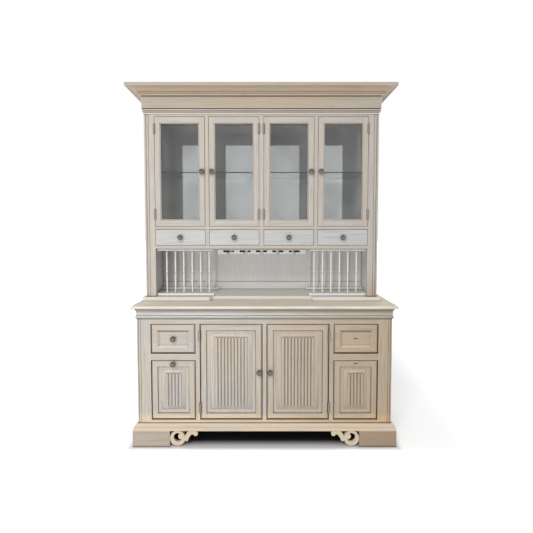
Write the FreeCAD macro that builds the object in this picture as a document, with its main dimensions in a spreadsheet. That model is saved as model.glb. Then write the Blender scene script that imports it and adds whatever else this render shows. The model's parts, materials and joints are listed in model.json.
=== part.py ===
"""Buffet and hutch in painted wood: a base cabinet and a display top, as separate pieces.

Millimetres, +Z up, the front faces -Y. The origin is on the floor, in the middle of the
width and of the depth. Every size is a cell of the sheet "Sizes"; the pieces are bound to
those cells, so a changed cell moves all that hangs on it.
"""
import FreeCAD, Part
import Sketcher

import math
import os

doc = FreeCAD.newDocument("buffet_and_hutch")

# Driving dimensions

SIZES = [
    ("buffet_width", 1548, "base cabinet, side to side"),
    ("buffet_depth", 495, "base cabinet, face to back"),
    ("hutch_side_step", 31, "half the difference between the widths of buffet and hutch"),
    ("hutch_setback", 160, "face of the hutch behind the face of the buffet"),
    ("buffet_offset", 20, "middle of the buffet, to the right of the hutch's"),
    ("board_thickness", 20, "face frames, sides, doors and drawer fronts"),
    ("inner_thickness", 18, "shelves, floors and partitions"),
    ("back_thickness", 6, "back boards"),
    ("front_gap", 2.5, "gap round each door and drawer front"),
    ("slide_gap", 0.3, "play under what slides or lies loose"),
    ("cut_overrun", 5, "how far a cut runs past what it cuts"),
    ("foot_height", 100, "floor to the underside of the base moulding"),
    ("foot_length", 226, "front foot, along the front"),
    ("foot_depth", 165, "front foot, along the side"),
    ("rear_foot_depth", 120, "rear foot, along the side"),
    ("foot_thickness", 22, "foot boards"),
    ("foot_post", 60, "square post inside each foot"),
    ("bottom_rail_width", 57, "bottom rail of the buffet's face frame"),
    ("deep_opening_height", 371, "opening of the deep drawers"),
    ("drawer_rail_width", 39, "rail between drawer and deep drawer"),
    ("drawer_opening_height", 184, "opening of the upper drawers"),
    ("top_rail_width", 94, "top rail of the buffet's face frame"),
    ("top_thickness", 19, "buffet top"),
    ("top_overhang", 29, "buffet top past the face and sides"),
    ("top_edge_radius", 7, "rounding of the top's edge"),
    ("buffet_stile_width", 82.5, "outer stiles of the buffet"),
    ("buffet_outer_bead", 9, "outer bead on the buffet's stiles"),
    ("buffet_inner_bead", 14, "inner bead on the buffet's stiles"),
    ("drawer_opening_width", 272.5, "openings of the drawer columns"),
    ("buffet_mid_stile_width", 25, "stiles between doors and drawers"),
    ("buffet_mullion_width", 24, "mullion between the two doors"),
    ("deck_thickness", 25, "board that the hutch stands on"),
    ("deck_overhang", 22, "deck past the hutch's face and sides"),
    ("deck_step_radius", 22, "both curves of the step in the deck's edge"),
    ("deck_recess_width", 604, "straight part of the set-back edge"),
    ("niche_height", 310, "deck to the apron rail"),
    ("apron_rail_width", 21, "rail under the hutch's drawers"),
    ("hutch_drawer_opening_height", 103, "openings of the hutch's drawers"),
    ("display_rail_width", 18, "rail between drawers and glass doors"),
    ("glass_opening_height", 693, "openings of the glass doors"),
    ("hutch_top_rail_width", 124, "top rail of the hutch's face frame"),
    ("ceiling_rise", 26, "display ceiling above the door openings"),
    ("hutch_stile_width", 64, "outer stiles of the hutch"),
    ("hutch_outer_bead", 13, "outer bead on the hutch's stiles"),
    ("hutch_inner_bead", 16, "inner bead on the hutch's stiles"),
    ("hutch_mullion_width", 24, "side mullions of the hutch"),
    ("hutch_centre_mullion_width", 28, "centre mullion of the hutch"),
    ("groove_radius", 2, "grooves beside the beads"),
    ("bead_drop", 1.4, "how far a bead falls away beside a groove"),
    ("frieze_height", 76, "frieze, neck moulding to crown"),
    ("frieze_thickness", 11, "frieze boards"),
    ("frieze_rise", 40, "frieze boards behind the crown"),
    ("neck_height", 34, "neck moulding"),
    ("neck_projection", 9, "neck moulding past the body"),
    ("crown_height", 57, "crown moulding"),
    ("crown_projection", 78, "crown past the frieze"),
    ("crown_fillet", 20, "square edge at the top of the crown"),
    ("waist_band", 42, "coved band under the buffet top"),
    ("waist_projection", 11, "waist moulding past the body"),
    ("waist_bead", 21, "round bead under the coved band"),
    ("base_moulding_height", 37, "base moulding"),
    ("base_projection", 27, "base moulding and feet past the body"),
    ("bracket_thickness", 18, "scroll brackets"),
    ("bracket_setback", 3, "brackets behind the foot's face"),
    ("bracket_length", 168, "scroll bracket, along the front"),
    ("scroll_radius", 46, "outer radius of the scroll"),
    ("front_edge_width", 9, "moulded edge round the buffet's fronts"),
    ("front_edge_quirk", 1.5, "step down to that moulded edge"),
    ("front_edge_fall", 5, "how far the moulded edge falls away outwards"),
    ("drawer_frame_width", 37, "border round a drawer front's field"),
    ("drawer_field_depth", 8, "depth of a drawer front's field"),
    ("drawer_field_slope", 12, "sloping edge of a drawer front's field"),
    ("door_frame_width", 37, "stiles and rails of the panelled fronts"),
    ("inner_band_width", 23, "band between frame and panel"),
    ("inner_band_step", 5, "step down from the frame to the band"),
    ("inner_band_fall", 3.5, "fall of the band towards the panel"),
    ("inner_band_flat", 3, "level outer part of the band"),
    ("panel_edge", 6, "thickness of a panel at its edge"),
    ("panel_inset", 3, "panel in from the back of its frame"),
    ("panel_shoulder", 2, "upright edge below a panel's bevel"),
    ("panel_bevel", 17, "width of a panel's bevel"),
    ("panel_rise", 6, "height of a panel's bevel"),
    ("reed_pitch", 20, "spacing of the reeds"),
    ("reed_quirk", 2, "flat between two reeds"),
    ("reed_height", 4, "reeds above the panel's field"),
    ("reed_end_margin", 4, "flat field above and below the reeds"),
    ("glass_frame_width", 33, "stiles of the glass doors"),
    ("glass_rail_width", 37, "rails of the glass doors"),
    ("glass_thickness", 4, "door panes"),
    ("glass_bead", 6, "beads that hold the panes"),
    ("mirror_thickness", 5, "mirrors"),
    ("shelf_glass_thickness", 6, "glass shelves"),
    ("shelf_glass_setback", 25, "glass shelves behind the face frame"),
    ("shelf_glass_rise", 346, "display floor to the underside of the shelves"),
    ("shelf_play", 2, "play at the ends and back of a shelf"),
    ("shelf_rise", 280, "buffet floor to the underside of its shelf"),
    ("shelf_setback", 40, "buffet shelf behind the face frame"),
    ("pin_length", 12, "shelf supports, out of the wall"),
    ("pin_width", 10, "shelf supports, along the wall"),
    ("pin_height", 4, "shelf supports"),
    ("pin_inset", 45, "shelf supports from the shelf's edges"),
    ("drawer_side_thickness", 12, "drawer sides and backs"),
    ("drawer_bottom_thickness", 6, "drawer bottoms"),
    ("drawer_bottom_rise", 8, "drawer bottom above the sides' lower edge"),
    ("drawer_side_gap", 1.5, "drawer box inside its opening"),
    ("drawer_head_gap", 10, "drawer box under the top of its opening"),
    ("hutch_drawer_depth", 285, "boxes of the hutch's drawers"),
    ("buffet_drawer_depth", 430, "boxes of the buffet's drawers"),
    ("runner_width", 20, "runners under the upper drawers"),
    ("guide_height", 25, "guide strips beside the drawers"),
    ("hinge_height", 64, "butt hinges"),
    ("hinge_inset", 42, "hinges from the ends of the door"),
    ("hinge_radius", 3.5, "barrel of a hinge"),
    ("hinge_pin_radius", 1.5, "pin of a hinge"),
    ("hinge_pin_play", 0.3, "play round the pin, at the corners of its bore"),
    ("hinge_joint_gap", 0.3, "gaps between knuckles and leaves"),
    ("hinge_proud", 3.7, "axis of a hinge in front of the face"),
    ("hinge_leaf_depth", 15, "leaves, into the gap"),
    ("knob_base_radius", 10, "foot of a knob"),
    ("knob_base_height", 3, "foot of a knob"),
    ("knob_neck_radius", 6, "neck of a knob"),
    ("knob_radius", 17, "head of a knob"),
    ("knob_projection", 28, "knob, out of the front"),
    ("rack_rail_height", 18, "rails of the plate racks"),
    ("rack_rail_depth", 26, "rails of the plate racks"),
    ("rack_rail_back_gap", 16, "rear rails in front of the lower back rail"),
    ("rack_inner_end", 310, "free ends of the rails from the middle"),
    ("spindle_margin", 31, "free end of a rail to the first spindle"),
    ("spindle_pitch", 55, "spacing of the spindles"),
    ("spindle_radius", 4.6, "slim ends of a spindle"),
    ("spindle_swell_radius", 6, "thickest part of a spindle"),
    ("lower_back_height", 53, "rail along the foot of the hutch's back"),
    ("lower_back_thickness", 10, "rail along the foot of the hutch's back"),
    ("stemware_width", 564, "stemware rack, side to side"),
    ("stemware_depth", 250, "stemware rack, front to back"),
    ("stemware_setback", 10, "stemware rack behind the hutch's face"),
    ("stemware_head", 11, "board of the stemware rack"),
    ("stemware_channel", 13, "height of the channels for glass feet"),
    ("stemware_ledge", 10, "ledges that the glass feet hang on"),
    ("stemware_web_width", 36, "strips between the channels"),
    ("stemware_mouth", 21, "gaps for the stems"),
]

sheet = doc.addObject("Spreadsheet::Sheet", "Sizes")
for row, (alias, value, note) in enumerate(SIZES, start=1):
    sheet.set(f"A{row}", alias)
    sheet.set(f"B{row}", str(value))
    sheet.set(f"C{row}", note)
    sheet.setAlias(f"B{row}", alias)
doc.recompute()


class Size:
    """A cell of the sheet or a formula of such cells, with the value it has now."""

    def __init__(self, text, value):
        self.text = text
        self.value = value

    def __add__(self, other):
        other = as_size(other)
        return Size(f"({self.text} + {other.text})", self.value + other.value)

    def __sub__(self, other):
        other = as_size(other)
        return Size(f"({self.text} - {other.text})", self.value - other.value)

    def __mul__(self, factor):
        return Size(f"({self.text} * {factor})", self.value * factor)

    def __truediv__(self, divisor):
        return Size(f"({self.text} / {divisor})", self.value / divisor)

    def __neg__(self):
        return Size(f"(0 - {self.text})", -self.value)


def as_size(thing):
    """A plain zero may stand for a length; everything else is a Size already."""
    return thing if isinstance(thing, Size) else Size(str(thing), float(thing))


class Cells:
    """Gives each cell of the sheet as a Size, by its alias."""

    def __getattr__(self, alias):
        return Size(f"Sizes.{alias}", float(sheet.get(alias)))


size = Cells()
ZERO = as_size(0)

# Levels above the floor, from the feet up

buffet_floor = size.foot_height + size.bottom_rail_width
deep_opening_top = buffet_floor + size.deep_opening_height
drawer_floor = deep_opening_top + size.drawer_rail_width
buffet_opening_top = drawer_floor + size.drawer_opening_height
buffet_case_top = buffet_opening_top + size.top_rail_width
buffet_top_level = buffet_case_top + size.top_thickness
deck_level = buffet_top_level + size.deck_thickness
apron_level = deck_level + size.niche_height
hutch_drawer_floor = apron_level + size.apron_rail_width
hutch_drawer_top = hutch_drawer_floor + size.hutch_drawer_opening_height
display_floor = hutch_drawer_top + size.display_rail_width
glass_opening_top = display_floor + size.glass_opening_height
hutch_case_top = glass_opening_top + size.hutch_top_rail_width
ceiling_level = glass_opening_top + size.ceiling_rise
frieze_level = hutch_case_top - size.frieze_height
neck_level = frieze_level - size.neck_height

# Places from front to back

back = (size.buffet_depth + size.top_overhang) / 2
buffet_face = back - size.buffet_depth
hutch_face = buffet_face + size.hutch_setback
buffet_inside = buffet_face + size.board_thickness
hutch_inside = hutch_face + size.board_thickness
back_board = back - size.back_thickness
mirror_face = back_board - size.mirror_thickness

# Places from the middle to the side

buffet_half = size.buffet_width / 2
buffet_wall = buffet_half - size.board_thickness
column_outer = buffet_half - size.buffet_stile_width
column_inner = column_outer - size.drawer_opening_width
door_outer = column_inner - size.buffet_mid_stile_width
door_inner = size.buffet_mullion_width / 2
partition_middle = (column_inner + door_outer) / 2
partition_inner = partition_middle - size.inner_thickness / 2
partition_outer = partition_middle + size.inner_thickness / 2
hutch_half = buffet_half - size.hutch_side_step
hutch_wall = hutch_half - size.board_thickness
bay_outer_end = hutch_half - size.hutch_stile_width
bay_inner_start = size.hutch_centre_mullion_width / 2
bay_width = (bay_outer_end - bay_inner_start - size.hutch_mullion_width) / 2
bay_inner_end = bay_inner_start + bay_width
bay_outer_start = bay_outer_end - bay_width

# Sub-parts by name: pieces of the hutch, on the middle, and of the buffet, beside it

HUTCH, BUFFET = "hutch", "buffet"
nodes = {}


def add_to(node, unit, *pieces):
    """Puts pieces into the named sub-part, as part of the hutch or of the buffet."""
    nodes.setdefault(node, {HUTCH: [], BUFFET: []})[unit].extend(pieces)


def place(thing, x, y, z):
    """Binds where an object stands."""
    for axis, where in zip("xyz", (x, y, z)):
        thing.setExpression(f"Placement.Base.{axis}", as_size(where).text)
    return thing


def board(x, y, z):
    """A plain board between two places along each axis."""
    box = doc.addObject("Part::Box", "board")
    for side, (low, high) in zip(("Length", "Width", "Height"), (x, y, z)):
        box.setExpression(side, (as_size(high) - as_size(low)).text)
    return place(box, x[0], y[0], z[0])


def frustum(x, y, z, front_inset, rear_inset):
    """A block between two places along each axis, drawn in all round at its front or rear."""
    block = doc.addObject("Part::Wedge", "frustum")
    x, y, z = [[as_size(end) for end in pair] for pair in (x, y, z)]
    width, depth, height = x[1] - x[0], y[1] - y[0], z[1] - z[0]
    block.setExpression("Xmin", front_inset.text)
    block.setExpression("Xmax", (width - front_inset).text)
    block.setExpression("Zmin", front_inset.text)
    block.setExpression("Zmax", (height - front_inset).text)
    block.Ymin = 0
    block.setExpression("Ymax", depth.text)
    block.setExpression("X2min", rear_inset.text)
    block.setExpression("X2max", (width - rear_inset).text)
    block.setExpression("Z2min", rear_inset.text)
    block.setExpression("Z2max", (height - rear_inset).text)
    return place(block, x[0], y[0], z[0])


def turned(sides, rings):
    """A turned piece, lofted through many-sided sections along Z. Repeated pieces stay
    light that way. A ring is (radius, height)."""
    sections = []
    for radius, height in rings:
        section = doc.addObject("Part::RegularPolygon", "section")
        section.Polygon = sides
        section.setExpression("Circumradius", as_size(radius).text)
        sections.append(place(section, ZERO, ZERO, height))
    piece = doc.addObject("Part::Loft", "turned")
    piece.Sections = sections
    piece.Solid = True
    piece.Ruled = True
    piece.Linearize = True
    return piece


def rod(sides, radius, height, x, y, z):
    """An upright many-sided rod."""
    prism = doc.addObject("Part::Prism", "rod")
    prism.Polygon = sides
    prism.setExpression("Circumradius", radius.text)
    prism.setExpression("Height", height.text)
    return place(prism, x, y, z)


def across(side, near, far):
    """The stretch from near to far of the middle, on the left (-1) or right (+1)."""
    if side > 0:
        return near, far
    return -far, -near


def offset_from(x, side, near, far):
    """The stretch from near to far of x, to its left (-1) or right (+1)."""
    if side > 0:
        return x + near, x + far
    return x - far, x - near


def mirrored(piece):
    """The same piece on the other side of the middle."""
    twin = doc.addObject("Part::Mirroring", "mirrored")
    twin.Source = piece
    twin.Normal = FreeCAD.Vector(1, 0, 0)
    return twin


def copy_at(master, x, y, z):
    """One more of a piece, elsewhere."""
    link = doc.addObject("App::Link", "copy")
    link.LinkedObject = master
    return place(link, x, y, z)


def cut(base, *tools):
    """A piece less the space that the tools take."""
    for tool in tools:
        result = doc.addObject("Part::Cut", "cut")
        result.Base = base
        result.Tool = tool
        base = result
    return base


def fused(*parts):
    """Several shapes as one solid."""
    result = doc.addObject("Part::MultiFuse", "fused")
    result.Shapes = list(parts)
    return result


# Sketches and solid features


def new_body(name):
    return doc.addObject("PartDesign::Body", name)


def sketch_on(body, plane, offset=ZERO):
    """A sketch on one of the body's own origin planes, moved along the plane's normal."""
    sketch = body.newObject("Sketcher::SketchObject", "sketch")
    support = next(o for o in body.Origin.OriginFeatures if o.Role == plane)
    sketch.AttachmentSupport = [(support, "")]
    sketch.MapMode = "FlatFace"
    sketch.setExpression("AttachmentOffset.Base.z", as_size(offset).text)
    return sketch


def bind_constraint(sketch, kind, where, length, name):
    index = sketch.addConstraint(Sketcher.Constraint(kind, *where, length.value))
    sketch.renameConstraint(index, name)
    sketch.setExpression(f"Constraints.{name}", length.text)


def pin_point(sketch, edge, end, x, y, name):
    """Holds the end of an edge at a place given in sizes."""
    for length, kind, axis in ((x, "DistanceX", -2), (y, "DistanceY", -1)):
        if length.value == 0:
            sketch.addConstraint(Sketcher.Constraint("PointOnObject", edge, end, axis))
        else:
            bind_constraint(sketch, kind, (-1, 1, edge, end), length, f"{name}_{kind}")


def arc_between(start, end, radius, turn):
    """The short arc from start to end; turn is +1 counter-clockwise, -1 clockwise."""
    chord = end - start
    rise = math.sqrt(max(radius**2 - chord.Length**2 / 4, 0))
    sideways = FreeCAD.Vector(-chord.y, chord.x, 0).normalize()
    centre = (start + end) / 2 + sideways * rise * turn
    first, last = (start, end) if turn > 0 else (end, start)
    angles = [math.atan2(p.y - centre.y, p.x - centre.x) for p in (first, last)]
    circle = Part.Circle(centre, FreeCAD.Vector(0, 0, 1), radius)
    return Part.ArcOfCircle(circle, *angles)


def outline(sketch, corners, mark="p"):
    """A closed outline. A corner is (x, y), reached by a straight line, or
    (x, y, radius, turn), reached by an arc from the corner before it."""
    corners = [[as_size(c[0]), as_size(c[1]), *c[2:]] for c in corners]
    points = [FreeCAD.Vector(c[0].value, c[1].value, 0) for c in corners]
    first_edge = sketch.GeometryCount
    ends = []
    for number, corner in enumerate(corners):
        start, end = points[number - 1], points[number]
        if len(corner) > 2:
            arc = arc_between(start, end, corner[2].value, corner[3])
            edge = sketch.addGeometry(arc, False)
            ends.append((edge, 1, 2) if corner[3] > 0 else (edge, 2, 1))
            bind_constraint(sketch, "Radius", (edge,), corner[2], f"{mark}{number}_radius")
        else:
            edge = sketch.addGeometry(Part.LineSegment(start, end), False)
            ends.append((edge, 1, 2))
    for number, corner in enumerate(corners):
        edge, _, tail = ends[number]
        next_edge, head, _ = ends[(number + 1) % len(corners)]
        sketch.addConstraint(Sketcher.Constraint("Coincident", edge, tail, next_edge, head))
        pin_point(sketch, edge, tail, corner[0], corner[1], f"{mark}{number}")
    return first_edge


def circle(sketch, x, y, radius):
    middle = FreeCAD.Vector(x.value, y.value, 0)
    edge = sketch.addGeometry(Part.Circle(middle, FreeCAD.Vector(0, 0, 1), radius.value), False)
    bind_constraint(sketch, "Radius", (edge,), radius, f"c{edge}_radius")
    pin_point(sketch, edge, 3, x, y, f"c{edge}")


def rectangle(sketch, x, y, mark="p"):
    outline(sketch, [(x[0], y[0]), (x[1], y[0]), (x[1], y[1]), (x[0], y[1])], mark)


def pad(body, sketch, length):
    feature = body.newObject("PartDesign::Pad", "pad")
    feature.Profile = sketch
    feature.setExpression("Length", length.text)
    return feature


def pocket(body, sketch, length=None, forward=False):
    """A cut from the sketch, to a depth or through all of the body."""
    feature = body.newObject("PartDesign::Pocket", "pocket")
    feature.Profile = sketch
    feature.Reversed = forward
    if length is None:
        feature.Type = "ThroughAll"
    else:
        feature.setExpression("Length", length.text)
    return feature


def bevel_front(body, base, depth, width):
    """Bevels the edges of the foremost face of a panel."""
    doc.recompute()
    faces = base.Shape.Faces
    foremost = min(range(len(faces)), key=lambda number: faces[number].CenterOfMass.y)
    feature = body.newObject("PartDesign::Chamfer", "bevel")
    feature.Base = (base, [f"Face{foremost + 1}"])
    feature.ChamferType = "Two distances"
    feature.setExpression("Size", depth.text)
    feature.setExpression("Size2", width.text)
    return feature


def round_front_edges(body, base, radius):
    """Rounds the level edges of a slab, above and below, but not those at the back."""
    doc.recompute()
    rear = (back - radius).value
    names = []
    for number, edge in enumerate(base.Shape.Edges, start=1):
        level = edge.BoundBox.ZLength < edge.BoundBox.DiagonalLength / 2
        if level and edge.CenterOfMass.y < rear:
            names.append(f"Edge{number}")
    feature = body.newObject("PartDesign::Fillet", "rounding")
    feature.Base = (base, names)
    feature.setExpression("Radius", radius.text)
    return feature


# Mitred mouldings: a front length and two returns with one profile


def mitred_moulding(node, unit, half_width, face, level, projection, profile):
    """Three lengths of one profile, mitred at the front corners. A corner of the profile
    is (out from the face, up from the level), with arcs as in an outline."""
    reach = size.cut_overrun
    front = new_body("front_length")
    section = sketch_on(front, "YZ_Plane")
    outline(section, [(-c[0], *c[1:]) for c in profile])
    length = (half_width + projection) * 2
    pad(front, section, length)
    ends = sketch_on(front, "XY_Plane", -reach)
    for mark, start, inward in (("left", ZERO, 1), ("right", length, -1)):
        outline(ends, [
            (start - reach * inward, reach),
            (start + (projection + reach) * inward, reach),
            (start - reach * inward, -projection - reach),
        ], mark)
    pocket(front, ends, forward=True)
    place(front, -half_width - projection, face, level)

    side = new_body("side_length")
    section = sketch_on(side, "XZ_Plane")
    outline(section, [(-c[0], *c[1:]) for c in profile])
    run = back - face
    pad(side, section, run + projection)
    end = sketch_on(side, "XY_Plane", -reach)
    outline(end, [
        (reach, reach - run),
        (-projection - reach, -run - projection - reach),
        (reach, -run - projection - reach),
    ])
    pocket(side, end, forward=True)
    place(side, -half_width, back, level)
    add_to(node, unit, front, side, mirrored(side))


def profile_from(shares, out, rise, start=ZERO):
    """A profile from its table of shares: out and up, and for an arc its radius, as a share
    of the rise too, and its turn. The rise begins at start."""
    return [
        (out * share[0], start + rise * share[1], *((rise * share[2], share[3]) if share[2:] else ()))
        for share in shares
    ]


# Feet, brackets and base moulding


def build_feet():
    outer = buffet_half + size.base_projection
    front = buffet_face - size.base_projection
    floor_to_case = (ZERO, size.foot_height)
    for side in (-1, 1):
        boards = (outer - size.foot_thickness, outer)
        post = (buffet_half - size.foot_post, outer - size.foot_thickness)
        front_inside = front + size.foot_thickness
        side_end = front + size.foot_depth
        rear_start = back - size.rear_foot_depth
        add_to(
            "feet", BUFFET,
            board(across(side, outer - size.foot_length, outer), (front, front_inside), floor_to_case),
            board(across(side, *boards), (front_inside, side_end), floor_to_case),
            board(across(side, *post), (front_inside, front_inside + size.foot_post), floor_to_case),
            board(across(side, *boards), (rear_start, back), floor_to_case),
            board(across(side, *post), (back - size.foot_post, back), floor_to_case),
        )


# Scroll bracket: a ring with a round eye, and a leaf that ends in a ball.
# The leaf's corners are shares of the bracket's length and of the foot's height, the radii
# of its curves shares of the scroll's, and so are the places in the ring.

LEAF_SHARES = [
    (0.500, 0.420),
    (0.589, 0.355),
    (0.643, 0.375),
    (0.761, 0.735, 2.00, -1),
    (0.864, 0.725, 0.21, -1),
    (0.982, 0.815),
    (0.982, 1.000),
    (0.702, 1.000),
    (0.545, 0.660, 1.30, 1),
]
BALL_SHARES = (0.928, 0.815)
BALL_RADIUS_SHARE = 0.135
HOLE_SHARES = (1.06, 0.12)
HOLE_RADIUS_SHARE = 0.59
EYE_SHARES = (1.51, 0.27)
EYE_RADIUS_SHARE = 0.42


def build_brackets():
    radius = size.scroll_radius
    scroll_z = size.foot_height - radius
    bracket = new_body("scroll_bracket")

    ring = sketch_on(bracket, "XZ_Plane")
    circle(ring, radius, scroll_z, radius)
    pad(bracket, ring, size.bracket_thickness)

    hole = sketch_on(bracket, "XZ_Plane", size.bracket_thickness + size.cut_overrun)
    circle(hole, radius * HOLE_SHARES[0], scroll_z + radius * HOLE_SHARES[1], radius * HOLE_RADIUS_SHARE)
    pocket(bracket, hole)

    eye = sketch_on(bracket, "XZ_Plane")
    circle(eye, radius * EYE_SHARES[0], scroll_z + radius * EYE_SHARES[1], radius * EYE_RADIUS_SHARE)
    pad(bracket, eye, size.bracket_thickness)

    leaf = sketch_on(bracket, "XZ_Plane")
    corners = []
    for share_x, share_z, *arc in LEAF_SHARES:
        corner = (size.bracket_length * share_x, size.foot_height * share_z)
        corners.append((*corner, radius * arc[0], arc[1]) if arc else corner)
    outline(leaf, corners)
    pad(bracket, leaf, size.bracket_thickness)

    ball = sketch_on(bracket, "XZ_Plane")
    circle(
        ball,
        size.bracket_length * BALL_SHARES[0],
        size.foot_height * BALL_SHARES[1],
        size.foot_height * BALL_RADIUS_SHARE,
    )
    pad(bracket, ball, size.bracket_thickness)

    foot_end = buffet_half + size.base_projection - size.foot_length
    back_face = buffet_face - size.base_projection + size.bracket_setback + size.bracket_thickness
    place(bracket, -foot_end, back_face, ZERO)
    add_to("scroll_brackets", BUFFET, bracket, mirrored(bracket))


BASE_SHARES = [
    (0, 0), (1, 0), (1, 0.25), (0.78, 0.46, 0.26, -1),
    (0.70, 0.46), (0.24, 0.90, 0.62, 1), (0.24, 1), (0, 1),
]


def build_base_moulding():
    out = size.base_projection
    profile = profile_from(BASE_SHARES, out, size.base_moulding_height)
    mitred_moulding(
        "base_moulding", BUFFET, buffet_half, buffet_face, size.foot_height, out, profile
    )


# Face frames

GROOVE_ROUNDING_SHARES = (1.05, 1.2)


def beaded_stile(node, unit, half_width, face, width, outer_bead, inner_bead, low, high):
    """An outer stile with two beads along its outer edge, left and right."""
    stile = new_body("stile")
    plan = sketch_on(stile, "XY_Plane")
    groove = size.groove_radius
    drop = size.bead_drop
    first = outer_bead - groove
    second = outer_bead + groove
    third = outer_bead + inner_bead - groove
    fourth = outer_bead + inner_bead + groove
    outline(plan, [
        (ZERO, size.board_thickness),
        (ZERO, drop),
        (first, drop, outer_bead, 1),
        (second, drop, groove * GROOVE_ROUNDING_SHARES[0], -1),
        (third, drop, inner_bead, 1),
        (fourth, ZERO, groove * GROOVE_ROUNDING_SHARES[1], -1),
        (width, ZERO),
        (width, size.board_thickness),
    ])
    pad(stile, plan, high - low)
    place(stile, -half_width, face, low)
    add_to(node, unit, stile, mirrored(stile))


def build_buffet_face_frame():
    node = "buffet_face_frame"
    depth = (buffet_face, buffet_inside)
    beaded_stile(
        node, BUFFET, buffet_half, buffet_face, size.buffet_stile_width,
        size.buffet_outer_bead, size.buffet_inner_bead, size.foot_height, buffet_case_top,
    )
    width = (-column_outer, column_outer)
    add_to(
        node, BUFFET,
        board(width, depth, (size.foot_height, buffet_floor)),
        board(width, depth, (buffet_opening_top, buffet_case_top)),
        board((-door_inner, door_inner), depth, (buffet_floor, buffet_opening_top)),
    )
    for side in (-1, 1):
        add_to(
            node, BUFFET,
            board(across(side, door_outer, column_inner), depth, (buffet_floor, buffet_opening_top)),
            board(across(side, column_inner, column_outer), depth, (deep_opening_top, drawer_floor)),
        )


def build_hutch_face_frame():
    node = "hutch_face_frame"
    depth = (hutch_face, hutch_inside)
    beaded_stile(
        node, HUTCH, hutch_half, hutch_face, size.hutch_stile_width,
        size.hutch_outer_bead, size.hutch_inner_bead, deck_level, hutch_case_top,
    )
    width = (-bay_outer_end, bay_outer_end)
    rails = [
        (apron_level, hutch_drawer_floor),
        (hutch_drawer_top, display_floor),
        (glass_opening_top, hutch_case_top),
    ]
    rows = [(hutch_drawer_floor, hutch_drawer_top), (display_floor, glass_opening_top)]
    mullions = [
        across(-1, bay_inner_end, bay_outer_start),
        (-bay_inner_start, bay_inner_start),
        across(1, bay_inner_end, bay_outer_start),
    ]
    for height in rails:
        add_to(node, HUTCH, board(width, depth, height))
    for height in rows:
        for mullion in mullions:
            add_to(node, HUTCH, board(mullion, depth, height))


# Carcass boards


def build_buffet_case():
    depth = (buffet_inside, back)
    inner_depth = (buffet_inside, back_board)
    floor_low = buffet_floor - size.inner_thickness
    inside = (-buffet_wall, buffet_wall)
    add_to("buffet_inner_boards", BUFFET, board(inside, inner_depth, (floor_low, buffet_floor)))
    add_to("buffet_back", BUFFET, board(inside, (back_board, back), (floor_low, buffet_case_top)))
    for side in (-1, 1):
        wall = across(side, buffet_wall, buffet_half)
        partition = across(side, partition_inner, partition_outer)
        add_to("buffet_sides", BUFFET, board(wall, depth, (size.foot_height, buffet_case_top)))
        add_to(
            "buffet_inner_boards", BUFFET,
            board(partition, inner_depth, (buffet_floor, buffet_case_top)),
        )


def build_buffet_top():
    top = new_body("buffet_top")
    plan = sketch_on(top, "XY_Plane")
    half = buffet_half + size.top_overhang
    front = buffet_face - size.top_overhang
    rectangle(plan, (-half, half), (front, back))
    slab = pad(top, plan, size.top_thickness)
    round_front_edges(top, slab, size.top_edge_radius)
    place(top, ZERO, ZERO, buffet_case_top)
    add_to("buffet_top", BUFFET, top)


WAIST_BEAD_SHARES = [(0, 0), (0.27, 0), (0.27, 0.15), (0.27, 0.92, 0.40, -1), (0.27, 1)]
WAIST_BAND_SHARES = [(0.45, 0), (0.45, 0.12), (0.86, 0.86, 0.90, 1), (1, 0.86), (1, 1), (0, 1)]


def build_waist_moulding():
    """A round bead, and above it a coved band up to the top board."""
    bead = size.waist_bead
    out = size.waist_projection
    profile = profile_from(WAIST_BEAD_SHARES, out, bead)
    profile += profile_from(WAIST_BAND_SHARES, out, size.waist_band, bead)
    level = buffet_case_top - size.waist_band - bead
    mitred_moulding("waist_moulding", BUFFET, buffet_half, buffet_face, level, out, profile)


def add_pins(unit, wall, inward, front, rear, shelf_low):
    """Shelf supports on the walls left and right, near the front and back of a shelf."""
    near, far = (wall - size.pin_length, wall) if inward > 0 else (wall, wall + size.pin_length)
    height = (shelf_low - size.pin_height, shelf_low)
    first = front + size.pin_inset
    last = rear - size.pin_inset
    for side in (-1, 1):
        for start in (first, last - size.pin_width):
            depth = (start, start + size.pin_width)
            add_to("shelf_pins", unit, board(across(side, near, far), depth, height))


def build_shelf_and_pins():
    low = buffet_floor + size.shelf_rise
    front = buffet_inside + size.shelf_setback
    rear = back_board - size.shelf_play
    half = partition_inner - size.shelf_play
    add_to(
        "buffet_shelf", BUFFET,
        board((-half, half), (front, rear), (low, low + size.inner_thickness)),
    )
    add_pins(BUFFET, partition_inner, 1, front, rear, low)

    low = display_floor + size.shelf_glass_rise
    front = hutch_inside + size.shelf_glass_setback
    rear = mirror_face - size.shelf_play
    middle = size.inner_thickness / 2
    for side in (-1, 1):
        width = across(side, middle + size.shelf_play, hutch_wall - size.shelf_play)
        add_to(
            "glass_shelves", HUTCH,
            board(width, (front, rear), (low, low + size.shelf_glass_thickness)),
        )
    add_pins(HUTCH, hutch_wall, 1, front, rear, low)
    add_pins(HUTCH, middle, -1, front, rear, low)


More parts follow.
